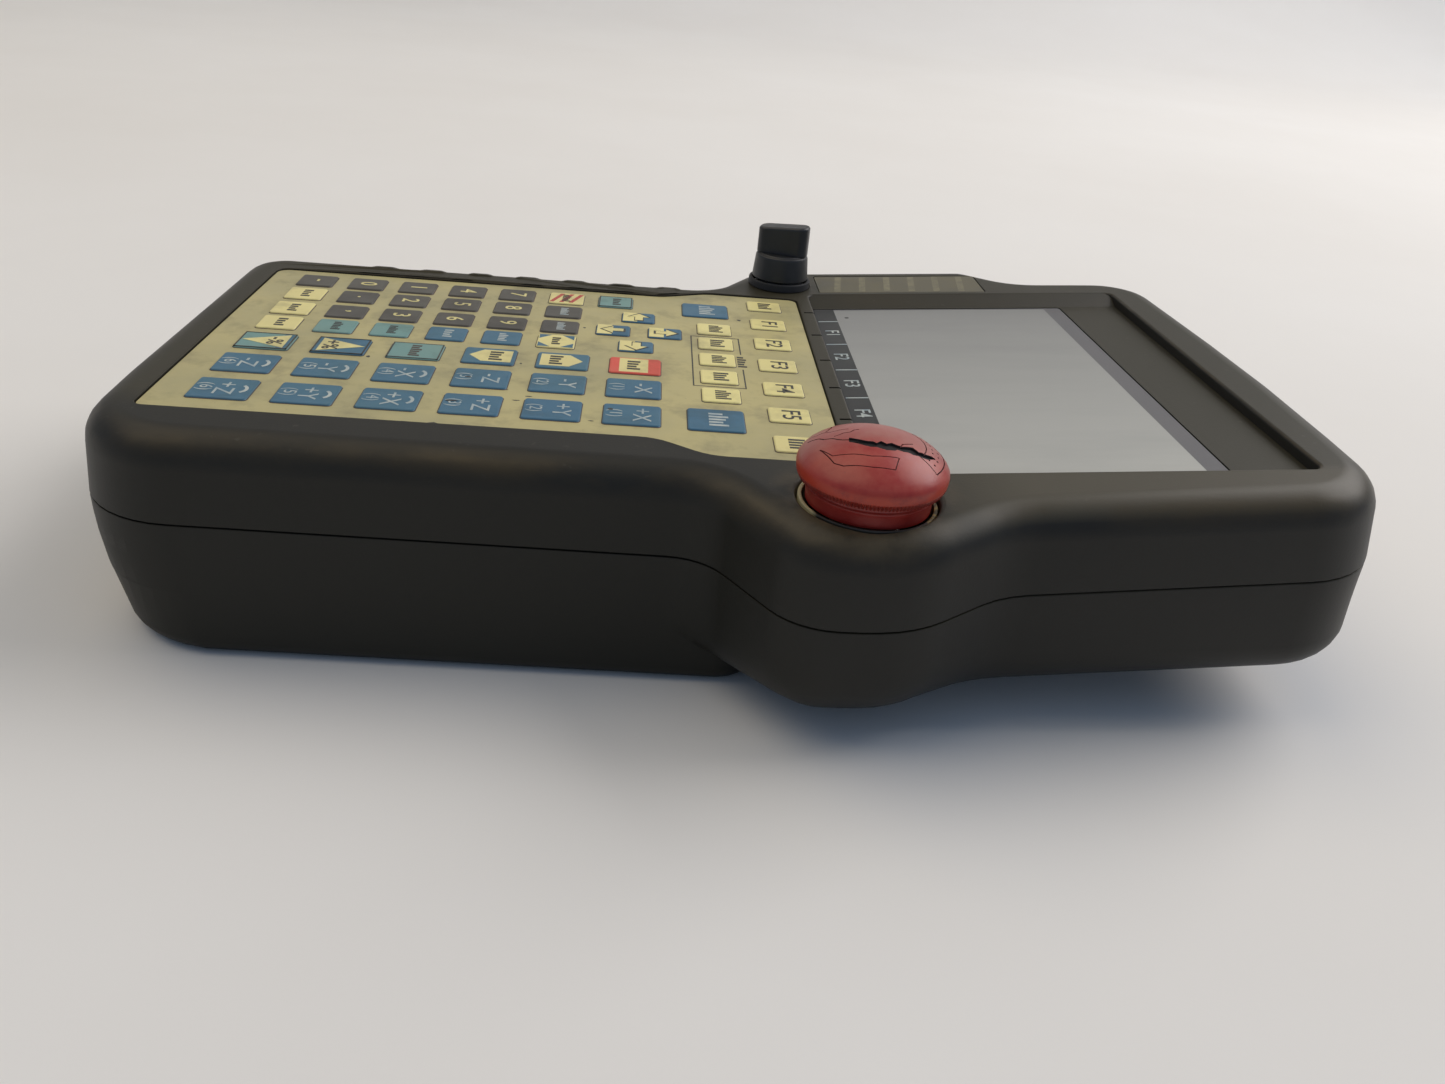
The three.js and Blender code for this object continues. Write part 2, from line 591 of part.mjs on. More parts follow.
// ---------------------------------------------------------------- boards, cables, inlet, screws

// A flat ribbon that runs from board to board, drawn in the X-Z plane with width along Y.
function ribbon(path, y0, y1, thickness = 0.6) {
  const outline = [...path, ...path.map(([x, z]) => [x + thickness, z - thickness]).reverse()];
  const shape = new THREE.Shape(outline.map(([x, z]) => new THREE.Vector2(x, z)));
  const geometry = new THREE.ExtrudeGeometry(shape, { depth: y1 - y0, bevelEnabled: false });
  return solid(geometry.rotateX(Math.PI / 2).translate(0, y1, 0));
}

function addBoards() {
  const main = { x0: 0, x1: 122, y0: -14, y1: 100 };
  piece('main_board', plate(main, 0, -40, -38.4), BOARD);
  const corners = [[8, -6], [114, -6], [8, 92], [114, 92]];
  corners.forEach(([x, y], i) => {
    piece(`board_spacer_${i + 1}`, rod(x, y, 3, -38.1, -6.9, 6), BRASS);
  });
  piece('main_processor', box(50, 78, 30, 58, -38.1, -35), BLACK);
  piece('keypad_ribbon', ribbon([[128, -7.5], [134, -14], [134, -30], [117, -37.4]], 30, 60), GREY);
  piece('display_ribbon', ribbon([[176, -17.4], [160, -24], [148, -31], [113, -36.6]], 66, 84), GREY);
}

function addInlet() {
  const face = INLET.face - GAP;
  piece('cable_gland', turnedAlongX(INLET.y, INLET.z, [
    [INLET.bore, -23], [9.5, -23], [11.6, -21], [11.6, face], [7, face], [7, -5], [INLET.bore, -5],
  ], 28), BLACK);
  const hexagon = rodAlongX(INLET.y, INLET.z, 11, -11.7, -7.5, 6);
  piece('cable_gland_nut', hexagon.subtract(rodAlongX(INLET.y, INLET.z, 7.4, -13, -4, 24)), BLACK);
}

function addScrews() {
  SCREWS.forEach(([x, y], i) => {
    const head = SCREW_SEAT_Z - GAP;
    const screw = turned(x, y, [
      [0, head - 2.4], [3.1, head - 2.4], [3.1, head], [1.5, head], [1.5, -10], [0, -10],
    ], 12);
    const slot = box(x - 2, x + 2, y - 0.4, y + 0.4, head - 5, head - 1.4);
    const body = screw.subtract(slot);
    piece(`case_screw_${i + 1}`, x > BEND_X ? shear(body) : body, STEEL);
  });
}

piece('front_case', frontCase(), SHELL);
piece('rear_case', rearCase(), SHELL);
piece('case_gasket', bend(grooveRing(WALL - 1, 1, PARTING_Z - 1.1, PARTING_Z + 0.8)), RUBBER);
addKeypad();
addDisplay();
addStatusStrip();
addStopButton();
addSelector();
addLevers();
addBoards();
addInlet();
addScrews();

export default pendant;
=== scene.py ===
import math
import random

import bmesh
import bpy
from mathutils import Matrix, Vector


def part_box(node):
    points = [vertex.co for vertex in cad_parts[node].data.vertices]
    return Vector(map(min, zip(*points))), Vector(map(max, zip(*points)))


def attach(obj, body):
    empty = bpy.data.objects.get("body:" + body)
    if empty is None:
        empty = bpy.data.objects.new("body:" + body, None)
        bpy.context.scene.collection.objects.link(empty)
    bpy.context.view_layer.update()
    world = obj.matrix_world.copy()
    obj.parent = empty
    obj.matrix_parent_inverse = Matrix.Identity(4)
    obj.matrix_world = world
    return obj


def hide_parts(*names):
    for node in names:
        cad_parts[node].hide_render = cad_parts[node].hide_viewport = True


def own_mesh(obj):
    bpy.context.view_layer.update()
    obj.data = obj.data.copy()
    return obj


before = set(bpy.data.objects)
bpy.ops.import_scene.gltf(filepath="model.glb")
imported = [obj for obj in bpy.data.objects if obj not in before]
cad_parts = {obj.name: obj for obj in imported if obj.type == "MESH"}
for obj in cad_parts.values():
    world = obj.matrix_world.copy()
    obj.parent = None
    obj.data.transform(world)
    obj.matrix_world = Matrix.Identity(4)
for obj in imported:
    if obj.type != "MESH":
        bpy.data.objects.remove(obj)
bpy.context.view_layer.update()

# Everything is drawn in the flat frame of the part's design, in millimetres: z = 0 on the keypad rim, +X towards
# the display end, +Y towards the selector. place() turns it into the part's frame in metres, bend included.

MM = 0.001
BEND_X = 153                  # where the display end starts to rise
BEND_RISE = 0.081
BEND_SOFT = 3                 # half length of the rounded kink
PARTING_Z = -22
RIM_RADIUS = 8.5
WALL = 3
DISPLAY_BACK_Z = -50
KEYPAD_BACK_Z = -58
SHEET_GAP = 0.3
LEFT_FRONT_TAPER = 1.8        # how far each end leans in from the parting line up to the rim
RIGHT_FRONT_TAPER = 4
LEFT_TAPER = 7                # how far each end leans in from the parting line down to the back
RIGHT_TAPER = -2.5
DISPLAY_BACK_RADIUS = 10
KEYPAD_BACK_RADIUS = 5
BUMP_ROUNDING = 1.6           # the stop bump's back edge is rounder by this factor

LEFT_END = [(-29.4, 119.5, 14), (-31, 12, 300), (-30.4, -31, 26)]
CASE_PLAN = [
    *LEFT_END, (118.5, -33, 16), (138, -62.5, 18), (165, -62.5, 26), (187, -48, 24), (283.2, -42.5, 24),
    (285.2, 30, 900), (279.7, 132.5, 20), (232, 133.5, 16), (217, 148.5, 11), (139.5, 148.5, 18),
    (122.5, 119.5, 14),
]
KEYPAD_PLAN = [*LEFT_END, (136, -33.12, 12), (136, 119.5, 12)]
SHEET_LEFT = -15.5            # the CAD sheet's straight left side; the real film splays out towards the near corner
SHEET_PLAN = [
    (-16.9, -13.2, 2.5), (106, -13.4, 14), (119, -22, 14), (152.4, -22, 3),
    (152.4, 110.8, 3), (122, 110.8, 14), (107, 104, 14), (-15.5, 104, 4),
]
RECESS_PLAN = [(157, -27.5, 2.5), (265, -27.5, 2.5), (261, 116, 2.5), (157, 116, 2.5)]
RECESS_DEPTH = 3
RECESS_FOOT = 109.5           # where the recess's sloping far wall reaches its floor
SHEET_DEPTH = 1.6
FILM_TOP = -0.5
KEY_TOP = 0.0
RIB_PITCH = 15.55
PANE_PLAN = [(158, -26.5, 1), (245.5, -26.5, 1), (241.8, 109.1, 1), (158, 109.1, 1)]
SEPARATORS_Y = [96, 73.4, 50.6, 28.3, 5.6, -17]
TICKS_Y = [96, 73.4, 50.6, 28.3, 5.6]
ROW_Y = {"plus": 0, "minus": 18.4, "special": 35.6, "r4": 51.6, "r3": 65.1, "r2": 79.5, "r1": 93.3}
STOP_HOLE = 16.2
KNOB_TURN = -0.29
REAR_TOP = PARTING_Z - 0.3
POCKET_FLOOR = DISPLAY_BACK_Z + 10
LEVER_X0, LEVER_X1, LEVER_Y0, LEVER_Y1 = 159, 227, -33, -11
PIN_Y, PIN_Z, PLUNGER_Y = -15, -44, -28
INLET_Y, INLET_Z, INLET_FACE = 43.5, -39, -17
SCREWS = [(13.5, -24.8), (13.5, 112.6), (112, -24.8), (112, 112.6), (268, -29), (264, 119)]
SCREW_SEAT_Z = -30
CAP_HEIGHT = 0.7
RIB_HEIGHT = 0.45
MIDDLE_Y = 43                 # the levers mirror each other about this line
STOP_LAND = 20                # radius of the round land that the display recess leaves at the stop button
INLET_POCKET, INLET_BORE = 12.6, 7.3
PIN_BORE = 1.8
SCREW_BORE, SCREW_WELL, SCREW_BOSS = 1.8, 4.5, 6.5
SPECIAL_KEY = (14.2, 12.2)
JOG_KEY = (14.5, 13)
SMALL_KEY = 10.8
SMALL_PITCH, SMALL_LEFT = 15.55, -0.84
LENS = 29.65
EYE = (101.199, -279.215, 114.399)

low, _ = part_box("key_sheet")
ORIGIN = Vector((
    SHEET_LEFT + SHEET_GAP - low.x / MM,
    SHEET_PLAN[3][1] + SHEET_GAP - low.y / MM,
    -SHEET_DEPTH + SHEET_GAP - low.z / MM,
))


def rise(x):
    past = x - BEND_X
    if past <= -BEND_SOFT:
        return 0
    if past >= BEND_SOFT:
        return BEND_RISE * past
    return BEND_RISE * (past + BEND_SOFT) ** 2 / (4 * BEND_SOFT)


def place(x, y, z):
    return (Vector((x, y, z + rise(x))) - ORIGIN) * MM


def middle(node):
    """The centre of a CAD node in the flat frame."""
    lowest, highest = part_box(node)
    centre = (lowest + highest) / 2 / MM + ORIGIN
    return Vector((centre.x, centre.y, centre.z - rise(centre.x)))


STOP = middle("stop_head")
SELECTOR = middle("selector_bezel")


# --- mesh helpers

def added(name, data):
    """A new object in the scene."""
    item = bpy.data.objects.new(name, data)
    bpy.context.scene.collection.objects.link(item)
    return item


def workpiece(bm, name="work"):
    """An object with the bmesh's faces. The bmesh is freed."""
    mesh = bpy.data.meshes.new(name)
    bm.to_mesh(mesh)
    bm.free()
    return added(name, mesh)


def split_at_bend(bm):
    """Extra edges where the display end starts to rise."""
    for step in (-1, 0, 1):
        geometry = bm.verts[:] + bm.edges[:] + bm.faces[:]
        bmesh.ops.bisect_plane(
            bm, geom=geometry, plane_co=(BEND_X + step * BEND_SOFT, 0, 0), plane_no=(1, 0, 0), dist=1e-4)


def new_object(name, bm, bend=True, smooth_angle=40):
    """A shaded object from a bmesh drawn in the flat frame."""
    if bend:
        split_at_bend(bm)
    for v in bm.verts:
        v.co = place(*v.co) if bend else (v.co - ORIGIN) * MM
    bm.normal_update()
    piece = workpiece(bm, name)
    shade(piece, smooth_angle)
    return piece


def shade(piece, angle):
    mesh = piece.data
    mesh.shade_smooth()
    mesh.set_sharp_from_angle(angle=math.radians(angle))
    weighted = piece.modifiers.new("normals", "WEIGHTED_NORMAL")
    weighted.keep_sharp = True
    weighted.weight = 80
    apply_modifiers(piece)


def apply_modifiers(piece):
    bpy.context.view_layer.update()
    graph = bpy.context.evaluated_depsgraph_get()
    mesh = bpy.data.meshes.new_from_object(
        piece.evaluated_get(graph), preserve_all_data_layers=True, depsgraph=graph)
    old = piece.data
    piece.modifiers.clear()
    piece.data = mesh
    bpy.data.meshes.remove(old)


def rounded_plan(corners, step=math.pi / 20):
    """Points round a plan whose corners are (x, y, radius), each with its outward normal."""
    points = []
    count = len(corners)
    for i, (x, y, radius) in enumerate(corners):
        before, after = corners[i - 1], corners[(i + 1) % count]
        into = Vector((x - before[0], y - before[1])).normalized()
        out = Vector((after[0] - x, after[1] - y)).normalized()
        turn = math.atan2(into.cross(out), into.dot(out))
        side = math.copysign(1, turn)
        tangent = radius * math.tan(abs(turn) / 2)
        centre = Vector((x, y)) - into * tangent + Vector((-into.y, into.x)) * radius * side
        steps = max(2, round(abs(turn) / step))
        for k in range(steps + 1):
            along = into.copy()
            along.rotate(Matrix.Rotation(turn * k / steps, 2))
            normal = Vector((along.y, -along.x))
            points.append((centre + normal * radius * side, normal))
    return points


def filled_in(plan, spacing, y_min):
    """The plan with extra points on its straight stretches past y_min."""
    points = []
    for i, (point, normal) in enumerate(plan):
        points.append((point, normal))
        following = plan[(i + 1) % len(plan)][0]
        length = (following - point).length
        if min(point.y, following.y) > y_min and length > 4 * spacing:
            pieces = int(length / spacing)
            points += [(point.lerp(following, k / pieces), normal) for k in range(1, pieces)]
    return points


def smooth(value, low, high):
    share = max(0, min(1, (value - low) / (high - low)))
    return share * share * (3 - 2 * share)


def ring(bm, plan, inset, z, left=0, right=0, rib=0, rounding=(0, 0)):
    """One loop of vertices: the plan moved in by inset, its ends leaning in by left and right.

    rib is the slope of the surface where grip ribs stand out. rounding holds the part of inset and z that
    a rounded back edge makes, which grows on the stop button's bump.
    """
    verts = []
    for point, normal in plan:
        more = (BUMP_ROUNDING - 1) * smooth(-point.y, 44, 58)
        x, y = point - normal * (inset + more * rounding[0])
        x += left * smooth(-point.x, -2, 10) - right * smooth(point.x, 250, 262)
        raised = rib_profile(point) if rib else 0
        height = z + more * rounding[1] + raised * math.sin(rib)
        verts.append(bm.verts.new((x, y + raised * math.cos(rib), height)))
    return verts


def rib_profile(point):
    if point.y < 119 or not 12 < point.x < 113:
        return 0
    phase = (point.x - 12) % RIB_PITCH
    edge = min(phase, 8 - phase) / 1.6
    return RIB_HEIGHT * max(0, min(1, edge)) ** 0.6 if edge > 0 else 0


def bridge(bm, lower, upper, material=0):
    """Faces between two loops of vertices."""
    for i in range(len(lower)):
        j = (i + 1) % len(lower)
        bm.faces.new((lower[i], lower[j], upper[j], upper[i])).material_index = material


def loft(levels, plan):
    """A closed body through levels of (inset, z, options of ring), from the lowest to the highest."""
    bm = bmesh.new()
    rings = [ring(bm, plan, *level[:2], **(level[2] if len(level) > 2 else {})) for level in levels]
    for lower, upper in zip(rings, rings[1:]):
        bridge(bm, lower, upper)
    bm.faces.new(reversed(rings[0]))
    bm.faces.new(rings[-1])
    return bm


def turned(profile, x, y, sides=64, ripple=None):
    """A body turned about the vertical through (x, y), from (radius, z) points.

    ripple(radius, z, angle) is added to the radius.
    """
    bm = bmesh.new()
    loops = []
    for radius, z in profile:
        if radius == 0:
            loops.append([bm.verts.new((x, y, z))])
            continue
        loop = []
        for k in range(sides):
            angle = 2 * math.pi * k / sides
            r = radius + (ripple(radius, z, angle) if ripple else 0)
            loop.append(bm.verts.new((x + r * math.cos(angle), y + r * math.sin(angle), z)))
        loops.append(loop)
    closed = loops + [loops[0]] if profile[0][0] > 0 else loops
    for a, b in zip(closed, closed[1:]):
        if len(a) == 1 and len(b) == 1:
            continue
        for k in range(sides):
            j = (k + 1) % sides
            if len(a) == 1:
                bm.faces.new((a[0], b[j], b[k]))
            elif len(b) == 1:
                bm.faces.new((a[k], a[j], b[0]))
            else:
                bm.faces.new((a[k], a[j], b[j], b[k]))
    bmesh.ops.recalc_face_normals(bm, faces=bm.faces[:])
    return bm


def rounded_box(x0, x1, y0, y1, z0, z1, corner=2.0, edge=0.5, steps=4):
    """A box with rounded corners in plan and softened top and bottom edges."""
    plan = rounded_plan(rectangle(x0, x1, y0, y1, corner))
    quarter = [math.pi / 2 * k / steps for k in range(steps + 1)]
    below = [(edge * (1 - math.sin(a)), z0 + edge * (1 - math.cos(a))) for a in quarter]
    above = [(edge * (1 - math.cos(a)), z1 - edge * (1 - math.sin(a))) for a in quarter]
    return loft(below + above, plan)


def carve(piece, bm, operation="DIFFERENCE", slot=0):
    """Cuts the flat-frame body bm out of the flat-frame object piece, or joins it.

    The faces that the body leaves take paint number slot.
    """
    for face in bm.faces:
        face.material_index = face.material_index or slot
    tool = workpiece(bm, "tool")
    for paint in piece.data.materials:
        tool.data.materials.append(paint)
    modifier = piece.modifiers.new("carve", "BOOLEAN")
    modifier.operation = operation
    modifier.solver = "EXACT"
    modifier.object = tool
    apply_modifiers(piece)
    bpy.data.objects.remove(tool)


def taken(piece):
    """The workpiece's mesh as a bmesh, and the workpiece removed."""
    bm = bmesh.new()
    bm.from_mesh(piece.data)
    bpy.data.objects.remove(piece)
    return bm


def together(*bodies):
    """Several bmeshes as one."""
    whole = bmesh.new()
    for bm in bodies:
        mesh = bpy.data.meshes.new("part")
        bm.to_mesh(mesh)
        bm.free()
        whole.from_mesh(mesh)
        bpy.data.meshes.remove(mesh)
    return whole


def finish_piece(piece, body, replaced, materials):
    for item in materials:
        piece.data.materials.append(item)
    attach(piece, body)
    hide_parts(*replaced)


# --- shader helpers

class Paint:
    """A principled material with procedural inputs. Positions are the part's own, in metres."""

    def __init__(self, name, roughness=0.5, metallic=0.0, **fixed):
        self.material = bpy.data.materials.new(name)
        self.material.use_nodes = True
        self.tree = self.material.node_tree
        self.shader = self.tree.nodes["Principled BSDF"]
        self.coordinates = self.tree.nodes.new("ShaderNodeTexCoord")
        self.shader.inputs["Roughness"].default_value = roughness
        self.shader.inputs["Metallic"].default_value = metallic
        for key, value in fixed.items():
            self.shader.inputs[key.replace("_", " ")].default_value = value

    def link(self, value, socket):
        if isinstance(value, bpy.types.NodeSocket):
            self.tree.links.new(value, socket)
        elif isinstance(value, (tuple, list)) and len(value) == 3 and socket.type == "RGBA":
            socket.default_value = (*value, 1)
        else:
            socket.default_value = value

    def node(self, kind, source=None):
        """A new node, its first input fed from the coordinates' output called source."""
        node = self.tree.nodes.new("ShaderNode" + kind)
        if source:
            self.tree.links.new(self.coordinates.outputs[source], node.inputs[0])
        return node

    def noise(self, scale, detail=4, roughness=0.55, stretch=(1, 1, 1)):
        mapping = self.node("Mapping", "Object")
        mapping.inputs["Scale"].default_value = stretch
        node = self.node("TexNoise")
        for key, number in (("Scale", scale), ("Detail", detail), ("Roughness", roughness)):
            node.inputs[key].default_value = number
        self.tree.links.new(mapping.outputs["Vector"], node.inputs["Vector"])
        return node.outputs["Fac"]

    def math(self, operation, a, b=0.0):
        node = self.node("Math")
        node.operation = operation
        self.link(a, node.inputs[0])
        self.link(b, node.inputs[1])
        return node.outputs[0]

    def times(self, a, b):
        return self.math("MULTIPLY", a, b)

    def range(self, value, low, high, to_low=0.0, to_high=1.0):
        node = self.node("MapRange")
        self.link(value, node.inputs["Value"])
        for key, number in (("From Min", low), ("From Max", high), ("To Min", to_low), ("To Max", to_high)):
            node.inputs[key].default_value = number
        return node.outputs["Result"]

    def mix(self, factor, a, b):
        node = self.node("Mix")
        node.data_type = "RGBA"
        for key, value in (("Factor", factor), ("A", a), ("B", b)):
            self.link(value, node.inputs[key])
        return node.outputs["Result"]

    def normal(self, axis):
        return self.node("SeparateXYZ", "Normal").outputs[axis]

    def position(self, axis):
        return self.node("SeparateXYZ", "Object").outputs[axis]

    def distance(self, point):
        node = self.node("VectorMath", "Object")
        node.operation = "DISTANCE"
        node.inputs[1].default_value = point
        return node.outputs["Value"]

    def bump(self, height, distance, strength=1.0):
        node = self.node("Bump")
        node.inputs["Strength"].default_value = strength
        node.inputs["Distance"].default_value = distance
        self.link(height, node.inputs["Height"])
        self.tree.links.new(node.outputs["Normal"], self.shader.inputs["Normal"])

    def set(self, name, value):
        self.link(value, self.shader.inputs[name])


def casing_paint():
    """Black plastic with painted light: lighter where it faces up, as a painted sheen, lighter still on the display
    end's near rim, as a painted highlight that is partly rubbed wear, and darker on the keypad end's near side;
    brown and rubbed along its edges, dusty.
    """
    paint = Paint("casing_plastic", roughness=0.5, Specular_IOR_Level=0.30)
    broad = paint.noise(9, 5)
    fine = paint.noise(140, 4)
    grain = paint.noise(1500, 3, 0.6)
    base = paint.mix(paint.range(broad, 0.35, 0.65), (0.0115, 0.0108, 0.0085), (0.0160, 0.0147, 0.0108))
    up = paint.normal("Z")
    # Painted sheen: faces that look up are painted lighter, as if lit from above.
    base = paint.mix(paint.range(up, 0.5, 0.99), base, (0.036, 0.0315, 0.0175))
    # The keypad end's near side, its rim and wall, is made darker.
    keypad_near_darkening = paint.times(paint.range(paint.position("X"), 0.03, 0.0),
                       paint.range(paint.position("Y"), -0.046, -0.058))
    base = paint.mix(keypad_near_darkening, base, (0.0150, 0.0140, 0.0095))
    # Partly rubbed wear, partly a painted highlight: the display end's near rim is painted a lighter brown where it
    # faces up.
    highlight_and_rub = paint.times(paint.range(paint.position("X"), 0.045, 0.065),
                          paint.range(paint.position("Y"), -0.068, -0.072))
    highlight_and_rub = paint.times(highlight_and_rub, paint.range(up, 0.5, 0.9))
    base = paint.mix(highlight_and_rub, base, (0.066, 0.057, 0.036))
    edge = paint.times(paint.range(up, 0.15, 0.75), paint.range(up, 0.99, 0.80))
    worn = paint.times(edge, paint.range(paint.noise(38, 5, 0.65, stretch=(0.5, 1, 1)), 0.36, 0.62))
    colour = paint.mix(paint.times(worn, 0.6), base, (0.075, 0.053, 0.022))
    from_stop = paint.distance(place(STOP.x, STOP.y, 0))
    ring_distance = paint.math("ABSOLUTE", paint.math("SUBTRACT", from_stop, 0.0175))
    rub = paint.times(paint.range(ring_distance, 0.006, 0.0005), paint.range(fine, 0.35, 0.6))
    colour = paint.mix(paint.times(rub, 0.7), colour, (0.085, 0.066, 0.036))
    dust = paint.times(paint.range(paint.noise(420, 2), 0.68, 0.78), paint.range(up, 0.3, 0.9))
    paint.set("Base Color", paint.mix(paint.times(dust, 0.2), colour, (0.12, 0.11, 0.09)))
    gloss = paint.math("ADD", worn, paint.times(broad, 0.6))
    paint.set("Roughness", paint.range(gloss, 0.1, 1.0, 0.50, 0.38))
    paint.bump(grain, 0.00005, 0.5)
    return paint.material


def film_paint(name, clean, dirty, stain):
    """The printed film of the key sheet: a colour, yellowed and stained unevenly."""
    paint = Paint(name, roughness=0.42)
    broad = paint.noise(22, 5, 0.6)
    patches = paint.noise(70, 5, 0.65)
    specks = paint.noise(900, 2, 0.5)
    colour = paint.mix(paint.range(broad, 0.38, 0.64), clean, dirty)
    colour = paint.mix(paint.range(patches, 0.50, 0.74, 0.0, 0.65), colour, stain)
    paint.set("Base Color", paint.mix(paint.range(specks, 0.72, 0.80, 0.0, 0.5), colour, stain))
    paint.set("Roughness", paint.range(patches, 0.3, 0.7, 0.36, 0.52))
    paint.bump(paint.noise(700, 3), 0.00003, 0.35)
    return paint.material


def plain_paint(name, colour, other, roughness=0.5, metallic=0.0, scale=60, grain=900, **fixed):
    """A base colour with soft variation towards another one, uneven gloss and a fine grain."""
    paint = Paint(name, roughness, metallic, **fixed)
    broad = paint.noise(scale, 5, 0.6)
    paint.set("Base Color", paint.mix(paint.range(broad, 0.35, 0.68), colour, other))
    paint.set("Roughness", paint.range(broad, 0.3, 0.7, roughness - 0.06, roughness + 0.08))
    paint.bump(paint.noise(grain, 3), 0.00003, 0.4)
    return paint.material


def red_paint():
    """The stop button: faded and rubbed pink on top, orange at the knurled rim."""
    paint = Paint("red_plastic", 0.42)
    patches = paint.noise(170, 5, 0.65)
    up = paint.normal("Z")
    side = paint.mix(paint.range(patches, 0.35, 0.65), (0.24, 0.014, 0.010), (0.31, 0.026, 0.017))
    front = paint.mix(paint.range(patches, 0.35, 0.62), (0.34, 0.024, 0.016), (0.40, 0.060, 0.038))
    behind = paint.mix(paint.range(patches, 0.38, 0.60), (0.34, 0.070, 0.055), (0.37, 0.125, 0.100))
    away = paint.math("SUBTRACT", paint.position("Y"), place(STOP.x, STOP.y - 4, 0).y)
    top = paint.mix(paint.range(away, -0.003, 0.003), front, behind)
    colour = paint.mix(paint.range(up, 0.25, 0.60), side, top)
    height = paint.math("SUBTRACT", paint.position("Z"), place(STOP.x, STOP.y, 7).z)
    rim = paint.times(paint.range(paint.math("ABSOLUTE", height), 0.0026, 0.0006),
                     paint.range(patches, 0.30, 0.55))
    colour = paint.mix(paint.times(rim, 0.85), colour, (0.43, 0.040, 0.014))
    # A darker band round the knurl, just under the widest rim.
    band_under_rim = paint.times(paint.range(paint.math("ADD", height, 0.0012), 0.0008, -0.0002),
                      paint.range(height, -0.0026, -0.0020))
    colour = paint.mix(paint.times(band_under_rim, 0.6), colour, (0.12, 0.018, 0.014))
    specks = paint.noise(900, 2)
    paint.set("Base Color", paint.mix(paint.range(specks, 0.70, 0.80, 0.0, 0.6), colour, (0.10, 0.03, 0.025)))
    paint.set("Roughness", paint.range(patches, 0.3, 0.7, 0.29, 0.46))
    paint.bump(paint.noise(700, 3), 0.00004, 0.4)
    return paint.material


def screen_paint():
    """The unlit display: grey, painted lighter at the near side and darker at the far side as painted shading, with
    faint rub marks.
    """
    paint = Paint("screen_grey", 0.45)
    # Painted shading: the screen goes from lighter at its near side to darker at its far side.
    across = paint.range(paint.position("Y"), -0.06, 0.06)
    colour = paint.mix(across, (0.43, 0.43, 0.39), (0.255, 0.255, 0.24))
    rubs = paint.noise(30, 4, 0.6, stretch=(0.35, 1.6, 1))
    paint.set("Base Color", paint.mix(paint.range(rubs, 0.45, 0.75, 0.0, 0.22), colour, (0.22, 0.225, 0.215)))
    paint.set("Roughness", paint.range(rubs, 0.3, 0.7, 0.42, 0.52))
    return paint.material


def legend_paint():
    """The ring under the stop button: a cream print on one side, a browned one on the other, dark between."""
    paint = Paint("legend_print", 0.5)
    along = paint.math("SUBTRACT", paint.position("X"), place(STOP.x, STOP.y, 0).x)
    patches = paint.noise(400, 4, 0.65)
    brown = paint.mix(paint.range(patches, 0.42, 0.58), (0.10, 0.075, 0.03), (0.42, 0.30, 0.09))
    colour = paint.mix(paint.range(along, -0.0136, -0.0126), (0.46, 0.40, 0.22), (0.026, 0.024, 0.018))
    paint.set("Base Color", paint.mix(paint.range(along, 0.0115, 0.0125), colour, brown))
    paint.bump(patches, 0.00004, 0.4)
    return paint.material


# --- paints

CASING = casing_paint()
FILM = film_paint("film_cream", (0.50, 0.435, 0.195), (0.39, 0.35, 0.175), (0.20, 0.175, 0.11))
KEY_CREAM = film_paint("key_cream", (0.80, 0.71, 0.29), (0.70, 0.61, 0.26), (0.36, 0.32, 0.17))
KEY_BLUE = film_paint("key_blue", (0.040, 0.135, 0.220), (0.052, 0.150, 0.205), (0.045, 0.095, 0.12))
KEY_TEAL = film_paint("key_teal", (0.15, 0.30, 0.28), (0.17, 0.29, 0.25), (0.09, 0.14, 0.12))
KEY_DARK = film_paint("key_dark", (0.062, 0.058, 0.048), (0.085, 0.078, 0.060), (0.05, 0.045, 0.036))
KEY_RED = film_paint("key_red", (0.72, 0.075, 0.045), (0.66, 0.10, 0.06), (0.34, 0.08, 0.05))
# Dark paint for the painted shade at the foot of most keys, and for some dark print.
KEY_SHADE_AND_DARK_INK = plain_paint("key_shade_and_dark_ink", (0.05, 0.045, 0.04), (0.10, 0.06, 0.045), 0.6)
INK_WHITE = plain_paint("ink_white", (0.50, 0.53, 0.48), (0.27, 0.35, 0.38), 0.5, scale=260)
# Black ink for print, which some keys also take as painted shade at their foot.
BLACK_INK_AND_KEY_SHADE = plain_paint("black_ink_and_key_shade", (0.03, 0.03, 0.03), (0.07, 0.065, 0.05), 0.55)
INK_RED = plain_paint("ink_red", (0.45, 0.06, 0.05), (0.5, 0.12, 0.08), 0.55)
INK_OLIVE = plain_paint("ink_olive", (0.125, 0.112, 0.066), (0.22, 0.20, 0.12), 0.55, scale=300)
RED_PLASTIC = red_paint()
ENGRAVED_RED = plain_paint("engraved_red", (0.105, 0.014, 0.011), (0.17, 0.026, 0.020), 0.7)
CRACK_BLACK = plain_paint("crack_black", (0.006, 0.005, 0.005), (0.012, 0.008, 0.007), 0.8)
LEGEND_PRINT = legend_paint()
KNOB_BLACK = plain_paint("knob_black", (0.017, 0.018, 0.018), (0.026, 0.026, 0.026), 0.42, scale=180)
MATT_BLACK = plain_paint("matt_black", (0.016, 0.016, 0.017), (0.028, 0.027, 0.026), 0.62)
SCREEN_GREY = screen_paint()
BORDER_GREY = plain_paint("window_border", (0.115, 0.113, 0.115), (0.135, 0.13, 0.13), 0.42, scale=30)
PRINT_DARK = plain_paint("window_print", (0.026, 0.028, 0.027), (0.036, 0.036, 0.035), 0.42, scale=40,
                         Specular_IOR_Level=0.3)
LABEL_PAINT = plain_paint("status_label_print", (0.085, 0.076, 0.045), (0.13, 0.115, 0.065), 0.5, scale=90)
